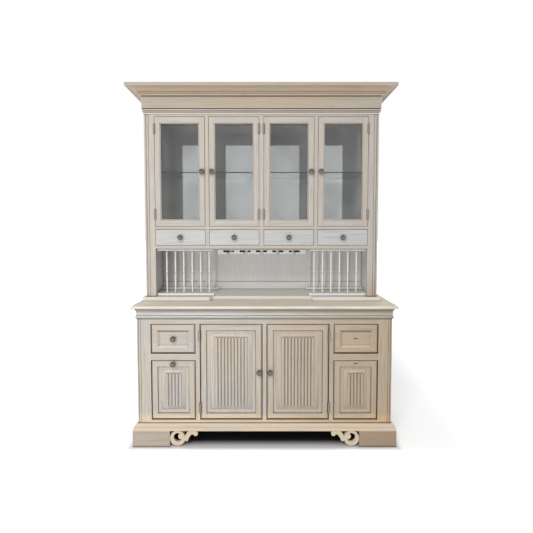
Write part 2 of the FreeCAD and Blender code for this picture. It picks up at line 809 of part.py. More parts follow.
def build_hutch_case():
    depth = (hutch_inside, back)
    inner_depth = (hutch_inside, back_board)
    inside = (-hutch_wall, hutch_wall)
    boards = [
        (hutch_drawer_floor - size.inner_thickness, hutch_drawer_floor),
        (display_floor - size.inner_thickness, display_floor),
        (ceiling_level, ceiling_level + size.inner_thickness),
    ]
    for height in boards:
        add_to("hutch_inner_boards", HUTCH, board(inside, inner_depth, height))
    divider_height = (hutch_drawer_floor, display_floor - size.inner_thickness)
    for side in (-1, 1):
        wall = across(side, hutch_wall, hutch_half)
        divider = across(side, bay_inner_end, bay_outer_start)
        add_to("hutch_sides", HUTCH, board(wall, depth, (deck_level, hutch_case_top)))
        add_to("hutch_inner_boards", HUTCH, board(divider, inner_depth, divider_height))
    centre = (-bay_inner_start, bay_inner_start)
    middle = size.inner_thickness / 2
    add_to(
        "hutch_inner_boards", HUTCH,
        board(centre, inner_depth, divider_height),
        board((-middle, middle), inner_depth, (display_floor, ceiling_level)),
    )
    lower_face = back_board - size.lower_back_thickness
    add_to(
        "hutch_back", HUTCH,
        board(inside, (back_board, back), (deck_level, hutch_case_top)),
        board(inside, (lower_face, back_board), (deck_level, deck_level + size.lower_back_height)),
    )
    for side in (-1, 1):
        width = across(side, middle, hutch_wall)
        height = (display_floor, ceiling_level)
        add_to("mirror_back", HUTCH, board(width, (mirror_face, back_board), height))


def build_deck():
    deck = new_body("hutch_deck")
    plan = sketch_on(deck, "XY_Plane")
    half = hutch_half + size.deck_overhang
    front = hutch_face - size.deck_overhang
    step = size.deck_step_radius
    recess = size.deck_recess_width / 2
    corner = size.deck_overhang / 2
    outline(plan, [
        (-half, back),
        (-half, front + corner),
        (-half + corner, front, corner, 1),
        (-recess - step * 2, front),
        (-recess - step, front + step, step, 1),
        (-recess, front + step * 2, step, -1),
        (recess, front + step * 2),
        (recess + step, front + step, step, -1),
        (recess + step * 2, front, step, 1),
        (half - corner, front),
        (half, front + corner, corner, 1),
        (half, back),
    ])
    pad(deck, plan, size.deck_thickness)
    place(deck, ZERO, ZERO, buffet_top_level)
    add_to("hutch_deck", HUTCH, deck)


# Crown, frieze and neck. The crown's table gives its part below the square edge.

FRIEZE_SHARES = [(0, 0), (1, 0), (1, 1), (0, 1)]
NECK_SHARES = [
    (0, 0), (0.20, 0), (0.75, 0.40, 0.45, 1), (0.75, 0.46),
    (0.50, 0.46), (0.50, 0.96, 0.30, -1), (0.50, 1), (0, 1),
]
CROWN_SHARES = [
    (0, 0), (0.08, 0), (0.22, 0.28, 0.36, -1), (0.28, 0.28), (0.28, 0.55), (0.93, 1, 1.35, 1), (1, 1),
]


def build_frieze():
    thickness = size.frieze_thickness
    profile = profile_from(FRIEZE_SHARES, thickness, size.frieze_height + size.frieze_rise)
    mitred_moulding("frieze", HUTCH, hutch_half, hutch_face, frieze_level, thickness, profile)


def build_neck():
    out = size.neck_projection
    profile = profile_from(NECK_SHARES, out, size.neck_height)
    mitred_moulding("neck_moulding", HUTCH, hutch_half, hutch_face, neck_level, out, profile)


def build_crown():
    out = size.crown_projection
    rise = size.crown_height
    profile = profile_from(CROWN_SHARES, out, rise - size.crown_fillet)
    profile += [(out, rise), (ZERO, rise)]
    mitred_moulding(
        "crown_moulding", HUTCH, hutch_half + size.frieze_thickness,
        hutch_face - size.frieze_thickness, hutch_case_top, out, profile,
    )


# Plate racks and stemware rack

SPINDLE_COUNT = 6
SPINDLE_SIDES = 7
STEMWARE_CHANNELS = 5

# A spindle's rings: height as a share of its length, and how far it swells between the
# slim radius (0) and the thickest one (1).
SPINDLE_SHARES = [
    (0.00, 0.15), (0.29, 0.60), (0.455, 0.10), (0.475, 1.0),
    (0.525, 1.0), (0.545, 0.10), (0.71, 0.60), (1.00, 0.15),
]


def build_spindle(length):
    swell = size.spindle_swell_radius - size.spindle_radius
    return turned(SPINDLE_SIDES, [
        (size.spindle_radius + swell * wide, length * high) for high, wide in SPINDLE_SHARES
    ])


def build_plate_racks():
    top_low = hutch_drawer_floor - size.inner_thickness - size.rack_rail_height
    bottom_high = deck_level + size.rack_rail_height
    front = hutch_inside
    rear = back_board - size.lower_back_thickness - size.rack_rail_back_gap - size.rack_rail_depth
    spindle = build_spindle(top_low - bottom_high)
    first = size.rack_inner_end + size.spindle_margin
    for start in (front, rear):
        depth = (start, start + size.rack_rail_depth)
        middle = start + size.rack_rail_depth / 2
        for side in (-1, 1):
            width = across(side, size.rack_inner_end, hutch_wall)
            add_to(
                "plate_rack_rails", HUTCH,
                board(width, depth, (deck_level, bottom_high)),
                board(width, depth, (top_low, top_low + size.rack_rail_height)),
            )
            for number in range(SPINDLE_COUNT):
                x = (first + size.spindle_pitch * number) * side
                add_to("plate_rack_spindles", HUTCH, copy_at(spindle, x, middle, bottom_high))


def build_stemware_rack():
    head_high = apron_level
    head_low = head_high - size.stemware_head
    ledge_high = head_low - size.stemware_channel
    ledge_low = ledge_high - size.stemware_ledge
    front = hutch_face + size.stemware_setback
    depth = (front, front + size.stemware_depth)
    half = size.stemware_width / 2
    pitch = (size.stemware_width - size.stemware_web_width) / STEMWARE_CHANNELS
    node = "stemware_rack"
    add_to(node, HUTCH, board((-half, half), depth, (head_low, head_high)))
    ledge_side = (pitch - size.stemware_mouth) / 2
    for number in range(STEMWARE_CHANNELS + 1):
        middle = -half + size.stemware_web_width / 2 + pitch * number
        web = (middle - size.stemware_web_width / 2, middle + size.stemware_web_width / 2)
        left = web[0] if number == 0 else middle - ledge_side
        right = web[1] if number == STEMWARE_CHANNELS else middle + ledge_side
        add_to(
            node, HUTCH,
            board(web, depth, (ledge_high, head_low)),
            board((left, right), depth, (ledge_low, ledge_high)),
        )


# Knobs and hinges


KNOB_SIDES = 8
KNOB_FLARE_SHARE = 1.6
KNOB_NECK_SHARE = 0.46
KNOB_HEAD_SHARES = [(0.92, 0.60), (1, 0.73), (0.84, 0.92), (0.45, 1)]
HINGE_SIDES = 6
FORWARD = FreeCAD.Rotation(FreeCAD.Vector(1, 0, 0), 90)


def build_knob():
    """A turned knob on a small foot, its axis pointing forward."""
    reach = size.knob_projection
    rings = [
        (size.knob_base_radius, ZERO),
        (size.knob_base_radius, size.knob_base_height),
        (size.knob_neck_radius, size.knob_base_height * KNOB_FLARE_SHARE),
        (size.knob_neck_radius, reach * KNOB_NECK_SHARE),
    ]
    rings += [(size.knob_radius * wide, reach * far) for wide, far in KNOB_HEAD_SHARES]
    knob = turned(KNOB_SIDES, rings)
    knob.Placement = FreeCAD.Placement(FreeCAD.Vector(0, 0, 0), FORWARD)
    return knob


def knob_at(x, face, z):
    """A knob on a front, its axis pointing forward."""
    link = doc.addObject("App::Link", "knob_copy")
    link.LinkedObject = knob_master
    link.Placement = knob_master.Placement
    return place(link, x, face, z)


def hinge_pair(fittings, unit, x, toward_door, face, low, high):
    """Two butt hinges between a frame and a door. x is the middle of the gap, and
    toward_door is +1 where the door lies to the right of its hinges."""
    axis = face - size.hinge_proud
    knuckle = size.hinge_height / 3
    gap = size.hinge_joint_gap
    half_gap = size.front_gap / 2
    starts = (low + size.hinge_inset, high - size.hinge_inset - size.hinge_height)

    def plate(side, depth, height):
        return board(offset_from(x, side, gap / 2, half_gap), depth, height)

    for start in starts:
        leaf_depth = (face, face + size.hinge_leaf_depth)
        leaf_height = (start, start + size.hinge_height)
        neck_depth = (axis, face)
        middle = (start + knuckle + gap, start + knuckle * 2 - gap)
        ends = [(start, start + knuckle), (start + knuckle * 2, start + size.hinge_height)]
        frame_side = [plate(-toward_door, leaf_depth, leaf_height)]
        for height in ends:
            frame_side.append(plate(-toward_door, neck_depth, height))
            frame_side.append(
                rod(HINGE_SIDES, size.hinge_radius, height[1] - height[0], x, axis, height[0])
            )
        frame_side.append(rod(HINGE_SIDES, size.hinge_pin_radius, size.hinge_height, x, axis, start))
        add_to("hinge_frame_leaves", unit, fused(*frame_side))
        door_side = fused(
            plate(toward_door, leaf_depth, leaf_height),
            plate(toward_door, neck_depth, middle),
            rod(HINGE_SIDES, size.hinge_radius, middle[1] - middle[0], x, axis, middle[0]),
        )
        bore_radius = size.hinge_pin_radius + size.hinge_pin_play
        bore = rod(HINGE_SIDES, bore_radius, size.hinge_height, x, axis, start)
        add_to(fittings, unit, cut(door_side, bore))


# Doors and framed fronts

DOOR_REEDS = 10
DEEP_REEDS = 5
REED_CURVE_SHARE = 0.62


def frame_boards(x, y, z, stile_width, rail_width):
    """Two stiles and two rails between them."""
    inner = (x[0] + stile_width, x[1] - stile_width)
    return [
        board((x[0], inner[0]), y, z),
        board((inner[1], x[1]), y, z),
        board(inner, y, (z[0], z[0] + rail_width)),
        board(inner, y, (z[1] - rail_width, z[1])),
    ]


def build_glass_door(name, x_opening, hinged):
    """A glass door; hinged is -1 for hinges on its left, +1 on its right."""
    gap = size.front_gap
    x = (x_opening[0] + gap, x_opening[1] - gap)
    z = (display_floor + gap, glass_opening_top - gap)
    stile, rail = size.glass_frame_width, size.glass_rail_width
    add_to(f"{name}_frame", HUTCH, *frame_boards(x, (hutch_face, hutch_inside), z, stile, rail))
    inner_x = (x[0] + stile, x[1] - stile)
    inner_z = (z[0] + rail, z[1] - rail)
    pane_front = hutch_face + (size.board_thickness - size.glass_thickness) / 2
    pane = (pane_front, pane_front + size.glass_thickness)
    add_to(f"{name}_glass", HUTCH, board(inner_x, pane, inner_z))
    bead = size.glass_bead
    for depth in ((pane[0] - bead, pane[0]), (pane[1], pane[1] + bead)):
        add_to(f"{name}_frame", HUTCH, *frame_boards(inner_x, depth, inner_z, bead, bead))
    hinge_x = x_opening[0] + gap / 2 if hinged < 0 else x_opening[1] - gap / 2
    knob_x = x[1] - stile / 2 if hinged < 0 else x[0] + stile / 2
    fittings = f"{name}_fittings"
    add_to(fittings, HUTCH, knob_at(knob_x, hutch_face, (z[0] + z[1]) / 2))
    hinge_pair(fittings, HUTCH, hinge_x, -hinged, hutch_face, z[0], z[1])


def moulded_edge(x, face, z):
    """What is cut away round a front of the buffet: a quirk, then a slope outwards."""
    edge = size.front_edge_width
    quirk = face + size.front_edge_quirk
    rear = quirk + size.front_edge_fall
    outside = board(x, (face - size.cut_overrun, rear), z)
    raised = board(
        (x[0] + edge, x[1] - edge), (face - size.cut_overrun, quirk), (z[0] + edge, z[1] - edge)
    )
    slope = frustum(x, (quirk, rear), z, edge, ZERO)
    return cut(outside, raised, slope)


def inner_band(x, face, z):
    """The sunk band between a frame and its panel, sloping down to the panel."""
    width = size.inner_band_width
    flat = size.inner_band_flat
    front = face + size.inner_band_step
    slope_end = front + size.inner_band_fall
    rear = buffet_inside - size.panel_inset - size.panel_edge
    inner = [(low + width, high - width) for low, high in (x, z)]
    sloping = [(low + flat, high - flat) for low, high in (x, z)]
    slope = frustum(sloping[0], (front, slope_end), sloping[1], ZERO, width - flat)
    hole = board(inner[0], (front, rear), inner[1])
    return cut(board(x, (front, rear), z), slope, hole)


def reeded_panel(name, x, z, reeds):
    """A raised panel with a bevel all round and upright reeds on its field."""
    panel = new_body(name)
    half = (x[1] - x[0]) / 2
    height = z[1] - z[0]
    band = size.inner_band_width
    edge = sketch_on(panel, "XZ_Plane")
    rectangle(edge, (-half, half), (ZERO, height))
    pad(panel, edge, size.panel_edge)
    raised = sketch_on(panel, "XZ_Plane", size.panel_edge)
    rectangle(raised, (band - half, half - band), (band, height - band))
    field = pad(panel, raised, size.panel_shoulder + size.panel_rise)
    bevel_front(panel, field, size.panel_rise, size.panel_bevel)

    end = band + size.panel_bevel + size.reed_end_margin
    surface = -size.panel_edge - size.panel_shoulder - size.panel_rise
    width = size.reed_pitch - size.reed_quirk
    curve = width * REED_CURVE_SHARE
    first = -(size.reed_pitch * (reeds - 1)) / 2
    reed = sketch_on(panel, "XY_Plane", end)
    root = surface + size.panel_rise / 2
    outline(reed, [
        (first - width / 2, root),
        (first - width / 2, surface),
        (first, surface - size.reed_height, curve, 1),
        (first + width / 2, surface, curve, 1),
        (first + width / 2, root),
    ])
    first_reed = pad(panel, reed, height - end * 2)
    doc.recompute()
    row = panel.newObject("PartDesign::LinearPattern", "reeds")
    row.Originals = [first_reed]
    row.Direction = (reed, ["H_Axis"])
    row.Occurrences = reeds
    row.setExpression("Length", (size.reed_pitch * (reeds - 1)).text)
    panel.Tip = row
    return panel


def framed_panel(frame_node, panel_node, x, z, reeds):
    """A front of the buffet: a frame with a moulded edge, a sunk band and a reeded panel."""
    width = size.door_frame_width
    edge = moulded_edge(x, buffet_face, z)
    for piece in frame_boards(x, (buffet_face, buffet_inside), z, width, width):
        add_to(frame_node, BUFFET, cut(piece, edge))
    inner_x = (x[0] + width, x[1] - width)
    inner_z = (z[0] + width, z[1] - width)
    add_to(frame_node, BUFFET, inner_band(inner_x, buffet_face, inner_z))
    panel = reeded_panel(f"{panel_node}_reeded", inner_x, inner_z, reeds)
    place(panel, (inner_x[0] + inner_x[1]) / 2, buffet_inside - size.panel_inset, inner_z[0])
    add_to(panel_node, BUFFET, panel)


def build_buffet_door(name, side):
    gap = size.front_gap
    x_opening = across(side, door_inner, door_outer)
    x = (x_opening[0] + gap, x_opening[1] - gap)
    z = (buffet_floor + gap, buffet_opening_top - gap)
    width = size.door_frame_width
    framed_panel(f"{name}_frame", f"{name}_panel", x, z, DOOR_REEDS)
    hinge_x = x_opening[1] - gap / 2 if side > 0 else x_opening[0] + gap / 2
    knob_x = x[0] + width / 2 if side > 0 else x[1] - width / 2
    fittings = f"{name}_fittings"
    add_to(fittings, BUFFET, knob_at(knob_x, buffet_face, (z[0] + z[1]) / 2))
    hinge_pair(fittings, BUFFET, hinge_x, -side, buffet_face, z[0], z[1])


# Drawers


def drawer_box(node, unit, x_opening, z_opening, front_back, depth):
    """Sides, back and bottom of a drawer behind its front."""
    side = size.drawer_side_thickness
    x = (x_opening[0] + size.drawer_side_gap, x_opening[1] - size.drawer_side_gap)
    low = z_opening[0] + size.slide_gap
    z = (low, z_opening[1] - size.drawer_head_gap)
    y = (front_back, front_back + depth)
    inner = (x[0] + side, x[1] - side)
    bottom = low + size.drawer_bottom_rise
    add_to(
        node, unit,
        board((x[0], inner[0]), y, z),
        board((inner[1], x[1]), y, z),
        board(inner, (y[1] - side, y[1]), z),
        board(inner, (y[0], y[1] - side), (bottom, bottom + size.drawer_bottom_thickness)),
    )


def build_hutch_drawer(name, x_opening):
    gap = size.front_gap
    x = (x_opening[0] + gap, x_opening[1] - gap)
    z = (hutch_drawer_floor + gap, hutch_drawer_top - gap)
    z_opening = (hutch_drawer_floor, hutch_drawer_top)
    add_to(name, HUTCH, board(x, (hutch_face, hutch_inside), z))
    drawer_box(name, HUTCH, x_opening, z_opening, hutch_inside, size.hutch_drawer_depth)
    add_to(f"{name}_knob", HUTCH, knob_at((x[0] + x[1]) / 2, hutch_face, (z[0] + z[1]) / 2))


def build_upper_drawer(name, side, with_knob):
    """A drawer of the buffet: a front with a moulded edge and a sunk field."""
    gap = size.front_gap
    x_opening = across(side, column_inner, column_outer)
    z_opening = (drawer_floor, buffet_opening_top)
    x = (x_opening[0] + gap, x_opening[1] - gap)
    z = (z_opening[0] + gap, z_opening[1] - gap)
    border = size.drawer_frame_width
    field_face = buffet_face + size.drawer_field_depth
    field = frustum(
        (x[0] + border, x[1] - border), (buffet_face, field_face),
        (z[0] + border, z[1] - border), ZERO, size.drawer_field_slope,
    )
    plate = board(x, (buffet_face, buffet_inside), z)
    add_to(name, BUFFET, cut(plate, field, moulded_edge(x, buffet_face, z)))
    drawer_box(name, BUFFET, x_opening, z_opening, buffet_inside, size.buffet_drawer_depth)
    if with_knob:
        add_to(
            f"{name}_knob", BUFFET,
            knob_at((x[0] + x[1]) / 2, field_face, (z[0] + z[1]) / 2),
        )


def build_deep_drawer(name, side, with_knob):
    """A deep drawer, its front framed round a reeded panel."""
    gap = size.front_gap
    x_opening = across(side, column_inner, column_outer)
    z_opening = (buffet_floor, deep_opening_top)
    x = (x_opening[0] + gap, x_opening[1] - gap)
    z = (z_opening[0] + gap, z_opening[1] - gap)
    framed_panel(name, name, x, z, DEEP_REEDS)
    drawer_box(name, BUFFET, x_opening, z_opening, buffet_inside, size.buffet_drawer_depth)
    if with_knob:
        knob_level = z[1] - size.door_frame_width / 2
        add_to(f"{name}_knob", BUFFET, knob_at((x[0] + x[1]) / 2, buffet_face, knob_level))


def build_runners():
    """Runners under the upper drawers, and guides beside all drawers."""
    node = "drawer_runners"
    depth = (buffet_inside, back_board)
    under = (drawer_floor - size.inner_thickness, drawer_floor)
    for side in (-1, 1):
        add_to(
            node, BUFFET,
            board(across(side, partition_outer, column_inner + size.runner_width), depth, under),
            board(across(side, column_outer - size.runner_width, buffet_wall), depth, under),
            board(
                across(side, column_outer, buffet_wall), depth,
                (drawer_floor, drawer_floor + size.guide_height),
            ),
            board(
                across(side, column_outer, buffet_wall), depth,
                (buffet_floor, buffet_floor + size.guide_height),
            ),
        )
        add_to(
            node, HUTCH,
            board(
                across(side, bay_outer_end, hutch_wall), (hutch_inside, back_board),
                (hutch_drawer_floor, hutch_drawer_floor + size.guide_height),
            ),
        )


# The whole piece of furniture

knob_master = build_knob()

build_feet()
build_brackets()
build_base_moulding()
build_buffet_case()
build_buffet_face_frame()
build_waist_moulding()
build_buffet_top()
build_runners()
build_deck()
build_hutch_case()
build_hutch_face_frame()
build_shelf_and_pins()
build_frieze()
build_neck()
build_crown()
build_plate_racks()
build_stemware_rack()

BAYS = [
    across(-1, bay_outer_start, bay_outer_end),
    across(-1, bay_inner_start, bay_inner_end),
    across(1, bay_inner_start, bay_inner_end),
    across(1, bay_outer_start, bay_outer_end),
]
DOOR_HINGES = (-1, 1, -1, 1)
for number, (bay, hinged) in enumerate(zip(BAYS, DOOR_HINGES), start=1):
    build_glass_door(f"hutch_door_{number}", bay, hinged)
    build_hutch_drawer(f"hutch_drawer_{number}", bay)

for side, side_name in ((-1, "left"), (1, "right")):
    with_knob = side_name == "left"
    build_upper_drawer(f"buffet_drawer_{side_name}", side, with_knob)
    build_deep_drawer(f"deep_drawer_{side_name}", side, with_knob)
    build_buffet_door(f"buffet_door_{side_name}", side)

# Sub-parts, checks and files

sub_parts = {}
for node, units in nodes.items():
    sub_part = doc.addObject("Part::Compound", "sub_part")
    sub_part.Label = node
    if not units[HUTCH]:
        sub_part.Links = units[BUFFET]
        place(sub_part, size.buffet_offset, ZERO, ZERO)
    elif not units[BUFFET]:
        sub_part.Links = units[HUTCH]
    else:
        beside = doc.addObject("Part::Compound", "buffet_pieces")
        beside.Links = units[BUFFET]
        sub_part.Links = [*units[HUTCH], place(beside, size.buffet_offset, ZERO, ZERO)]
    sub_parts[node] = sub_part
doc.recompute()

for thing in doc.Objects:
    if "Invalid" in thing.State or "Error" in thing.State:
        raise RuntimeError(f"{thing.Label} failed: {thing.State}")

os.makedirs("parts", exist_ok=True)
for node, sub_part in sub_parts.items():
    shape = sub_part.Shape
    if shape.isNull() or not shape.isValid() or not shape.Solids:
        raise RuntimeError(f"{node} has no valid solid")
    shape.exportStep(f"parts/{node}.step")
print(len(sub_parts), "sub-parts,", sum(len(s.Shape.Solids) for s in sub_parts.values()), "solids")
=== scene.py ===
"""Looks of a painted buffet and hutch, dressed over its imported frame.

Metres, +Z up, the front faces -Y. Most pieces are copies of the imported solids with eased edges
and a grain that follows each board; the knobs and the spindles are turned here.
"""
import json
import math
import random

import bmesh
import bpy
from mathutils import Euler, Matrix, Vector


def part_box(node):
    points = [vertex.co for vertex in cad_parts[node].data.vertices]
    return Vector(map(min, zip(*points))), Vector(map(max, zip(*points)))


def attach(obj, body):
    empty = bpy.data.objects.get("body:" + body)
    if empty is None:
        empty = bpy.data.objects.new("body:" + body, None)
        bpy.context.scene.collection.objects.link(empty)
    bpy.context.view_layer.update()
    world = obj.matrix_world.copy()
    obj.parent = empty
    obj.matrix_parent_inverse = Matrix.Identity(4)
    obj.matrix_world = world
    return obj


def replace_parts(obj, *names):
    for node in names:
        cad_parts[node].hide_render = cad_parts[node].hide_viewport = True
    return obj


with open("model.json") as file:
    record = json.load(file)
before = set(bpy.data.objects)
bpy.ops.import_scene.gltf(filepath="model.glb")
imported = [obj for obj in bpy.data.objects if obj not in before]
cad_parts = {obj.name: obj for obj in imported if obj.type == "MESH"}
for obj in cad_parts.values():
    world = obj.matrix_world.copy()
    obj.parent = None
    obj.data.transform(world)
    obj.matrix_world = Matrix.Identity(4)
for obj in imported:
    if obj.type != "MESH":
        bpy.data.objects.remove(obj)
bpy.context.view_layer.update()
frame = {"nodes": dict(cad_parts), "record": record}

MM = 0.001
NODES = frame["nodes"]
BODY_OF = {
    node: body for body, nodes in frame["record"]["behaviour"]["bodies"].items() for node in nodes
}


def add_object(name, data):
    made = bpy.data.objects.new(name, data)
    bpy.context.scene.collection.objects.link(made)
    return made


def mesh_data(mesh, name):
    """Lasting data with the form of a working mesh, which is freed."""
    data = bpy.data.meshes.new(name)
    mesh.to_mesh(data)
    mesh.free()
    return data


# The camera, fitted to the photograph's edges

IMAGE_SIDE = 533
FOCAL_PIXELS = 389.3
SENSOR_WIDTH = 36
PRINCIPAL_ROW = 248.5
CAMERA_HEIGHT = 1.322
CAMERA_SIDE = 0.032
CAMERA_TO_HUTCH_FACE = 2.492
CAMERA_PITCH_DOWN = 0.0488
NEAREST_SEEN = 10 * MM


def add_camera():
    lens = bpy.data.cameras.new("photo_camera")
    lens.sensor_width = SENSOR_WIDTH
    lens.lens = SENSOR_WIDTH * FOCAL_PIXELS / IMAGE_SIDE
    lens.shift_y = (PRINCIPAL_ROW - IMAGE_SIDE / 2) / IMAGE_SIDE
    lens.clip_start = NEAREST_SEEN
    camera = add_object("photo_camera", lens)
    hutch_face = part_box("hutch_face_frame")[0].y
    camera.location = (CAMERA_SIDE, hutch_face - CAMERA_TO_HUTCH_FACE, CAMERA_HEIGHT)
    camera.rotation_euler = (math.pi / 2 - CAMERA_PITCH_DOWN, 0, 0)
    bpy.context.scene.camera = camera


# Node trees


def new_tree(name):
    material = bpy.data.materials.new(name)
    material.use_nodes = True
    tree = material.node_tree
    tree.nodes.clear()
    return material, tree


def shader_node(tree, kind, inputs=None, **settings):
    """One shader node; a socket given as an input is linked, anything else is set."""
    made = tree.nodes.new(kind)
    for key, value in settings.items():
        setattr(made, key, value)
    for key, value in (inputs or {}).items():
        if isinstance(value, bpy.types.NodeSocket):
            tree.links.new(value, made.inputs[key])
        else:
            made.inputs[key].default_value = value
    return made


def rgb(colour):
    return (*colour, 1)


def blend_colours(tree, factor, first, second, mode="MIX"):
    """Two colours mixed by a factor; the RGBA sockets of a Mix node are numbers 6 and 7."""
    first, second = (rgb(c) if isinstance(c, tuple) else c for c in (first, second))
    inputs = {0: factor, 6: first, 7: second}
    made = shader_node(tree, "ShaderNodeMix", inputs, data_type="RGBA", blend_type=mode)
    return made.outputs[2]


def calculate(tree, operation, first, second):
    made = shader_node(tree, "ShaderNodeMath", {0: first, 1: second}, operation=operation)
    return made.outputs[0]


def multiply(tree, first, second):
    return calculate(tree, "MULTIPLY", first, second)


def combine_vectors(tree, operation, first, second):
    made = shader_node(tree, "ShaderNodeVectorMath", {0: first, 1: second}, operation=operation)
    return made.outputs[0]


def split(tree, vector):
    return shader_node(tree, "ShaderNodeSeparateXYZ", {0: vector}).outputs


def object_place(tree):
    return shader_node(tree, "ShaderNodeTexCoord").outputs["Object"]


def ramp(tree, value, band, levels=(0, 1), kind="SMOOTHSTEP"):
    """A value stretched from a band to a pair of levels and clamped."""
    inputs = {
        "Value": value, "From Min": band[0], "From Max": band[1], "To Min": levels[0],
        "To Max": levels[1],
    }
    made = shader_node(tree, "ShaderNodeMapRange", inputs, interpolation_type=kind)
    return made.outputs["Result"]


def stretched_noise(tree, place, per_metre, detail, roughness=0.55):
    """Noise whose size differs along and across the grain."""
    scaled = combine_vectors(tree, "MULTIPLY", place, per_metre)
    inputs = {"Vector": scaled, "Scale": 1.0, "Detail": detail, "Roughness": roughness}
    return shader_node(tree, "ShaderNodeTexNoise", inputs).outputs["Fac"]


def bumps(tree, height, strength, distance):
    inputs = {"Height": height, "Strength": strength, "Distance": distance}
    return shader_node(tree, "ShaderNodeBump", inputs).outputs["Normal"]


def principled(tree, **inputs):
    """A surface; an underscore in an input's name stands for a space."""
    inputs = {key.replace("_", " "): value for key, value in inputs.items()}
    return shader_node(tree, "ShaderNodeBsdfPrincipled", inputs)


def show_surface(tree, shader):
    shader_node(tree, "ShaderNodeOutputMaterial", {"Surface": shader.outputs[0]})


# Paint: each layer sets in on its band of a noise, of the openness or of the facing. The layers
# set by openness and by facing are painted light and shade

# Glaze colours; they also colour the painted shade in hollows and creases, and the specks
DARK_GLAZE_AND_SHADE = (0.085, 0.062, 0.042)
SOFT_GLAZE_AND_SHADE = (0.34, 0.275, 0.20)

STREAKS_PER_METRE = (5, 110, 110)
STREAK_DETAIL = 5
STREAK_NOISE_ROUGHNESS = 0.65
STREAK_BAND = (0.42, 0.66)
STREAK_BUMP_STRENGTH = 0.25
STREAK_BUMP_HEIGHT = 0.4 * MM

MOTTLE_PER_METRE = (1.6, 7, 7)
MOTTLE_DETAIL = 3
WARM_BAND = (0.46, 0.66)
WARM_AMOUNT = 0.6
COOL_BAND = (0.34, 0.5)
COOL_AMOUNT = 0.6
BOARD_TONE_AMOUNT = 0.22

SPECKS_PER_METRE = (150, 300, 300)
SPECK_DETAIL = 2
SPECK_BAND = (0.70, 0.78)
SPECK_AMOUNT = 0.35

# Bands of the upward facing across which the tints of painted shading on downward and upward faces
# set in
DOWNWARD_PAINTED_SHADING_BAND = (-0.24, -0.03)
UPWARD_PAINTED_SHADING_BAND = (0.03, 0.24)

# Painted highlight on outward edges, which also stands for paint rubbed pale there
EDGE_HIGHLIGHT_REACH = 3 * MM
EDGE_HIGHLIGHT_BAND = (0.45, 0.9)
EDGE_HIGHLIGHT_GAIN = 1.4
EDGE_HIGHLIGHT_LIMIT = 0.9

# Painted shade in hollows (broad) and creases (narrow), set by how open the surface is; it also
# stands for brown glaze left there
HOLLOW_SHADE_REACH = 30 * MM
HOLLOW_SHADE_BAND = (0.35, 0.95)

CREASE_SHADE_REACH = 8 * MM
CREASE_SHADE_BAND = (0.80, 0.985)
CREASE_SHADE_LEAST_SHARE = 0.8

MIDDLE_BAND = (0.3, 0.7)
PAINT_ROUGHNESS = (0.42, 0.56)
OPENNESS_SAMPLES = 8

# Painted glow and shade by place: heights above the floor and places across the width, in metres

FOOT_RAIL_BAND = (0.165, 0.21)
PAINTED_FOOT_GLOW = (1.36, 1.21, 1.02)
SHADED_FOOT = (0.82, 0.73, 0.60)
SHADED_HEAD = (0.93, 0.93, 0.94)
FOOT_TO_HEAD_BAND = (0.75, 1.15)
LEFT_TO_RIGHT_BAND = (-0.35, 0.85)


def openness(tree, reach, inside=False):
    """How open the surface is to what lies within reach: 1 on a flat, less in a corner."""
    made = shader_node(
        tree, "ShaderNodeAmbientOcclusion", {"Distance": reach}, samples=OPENNESS_SAMPLES,
        inside=inside,
    )
    return made.outputs["AO"]


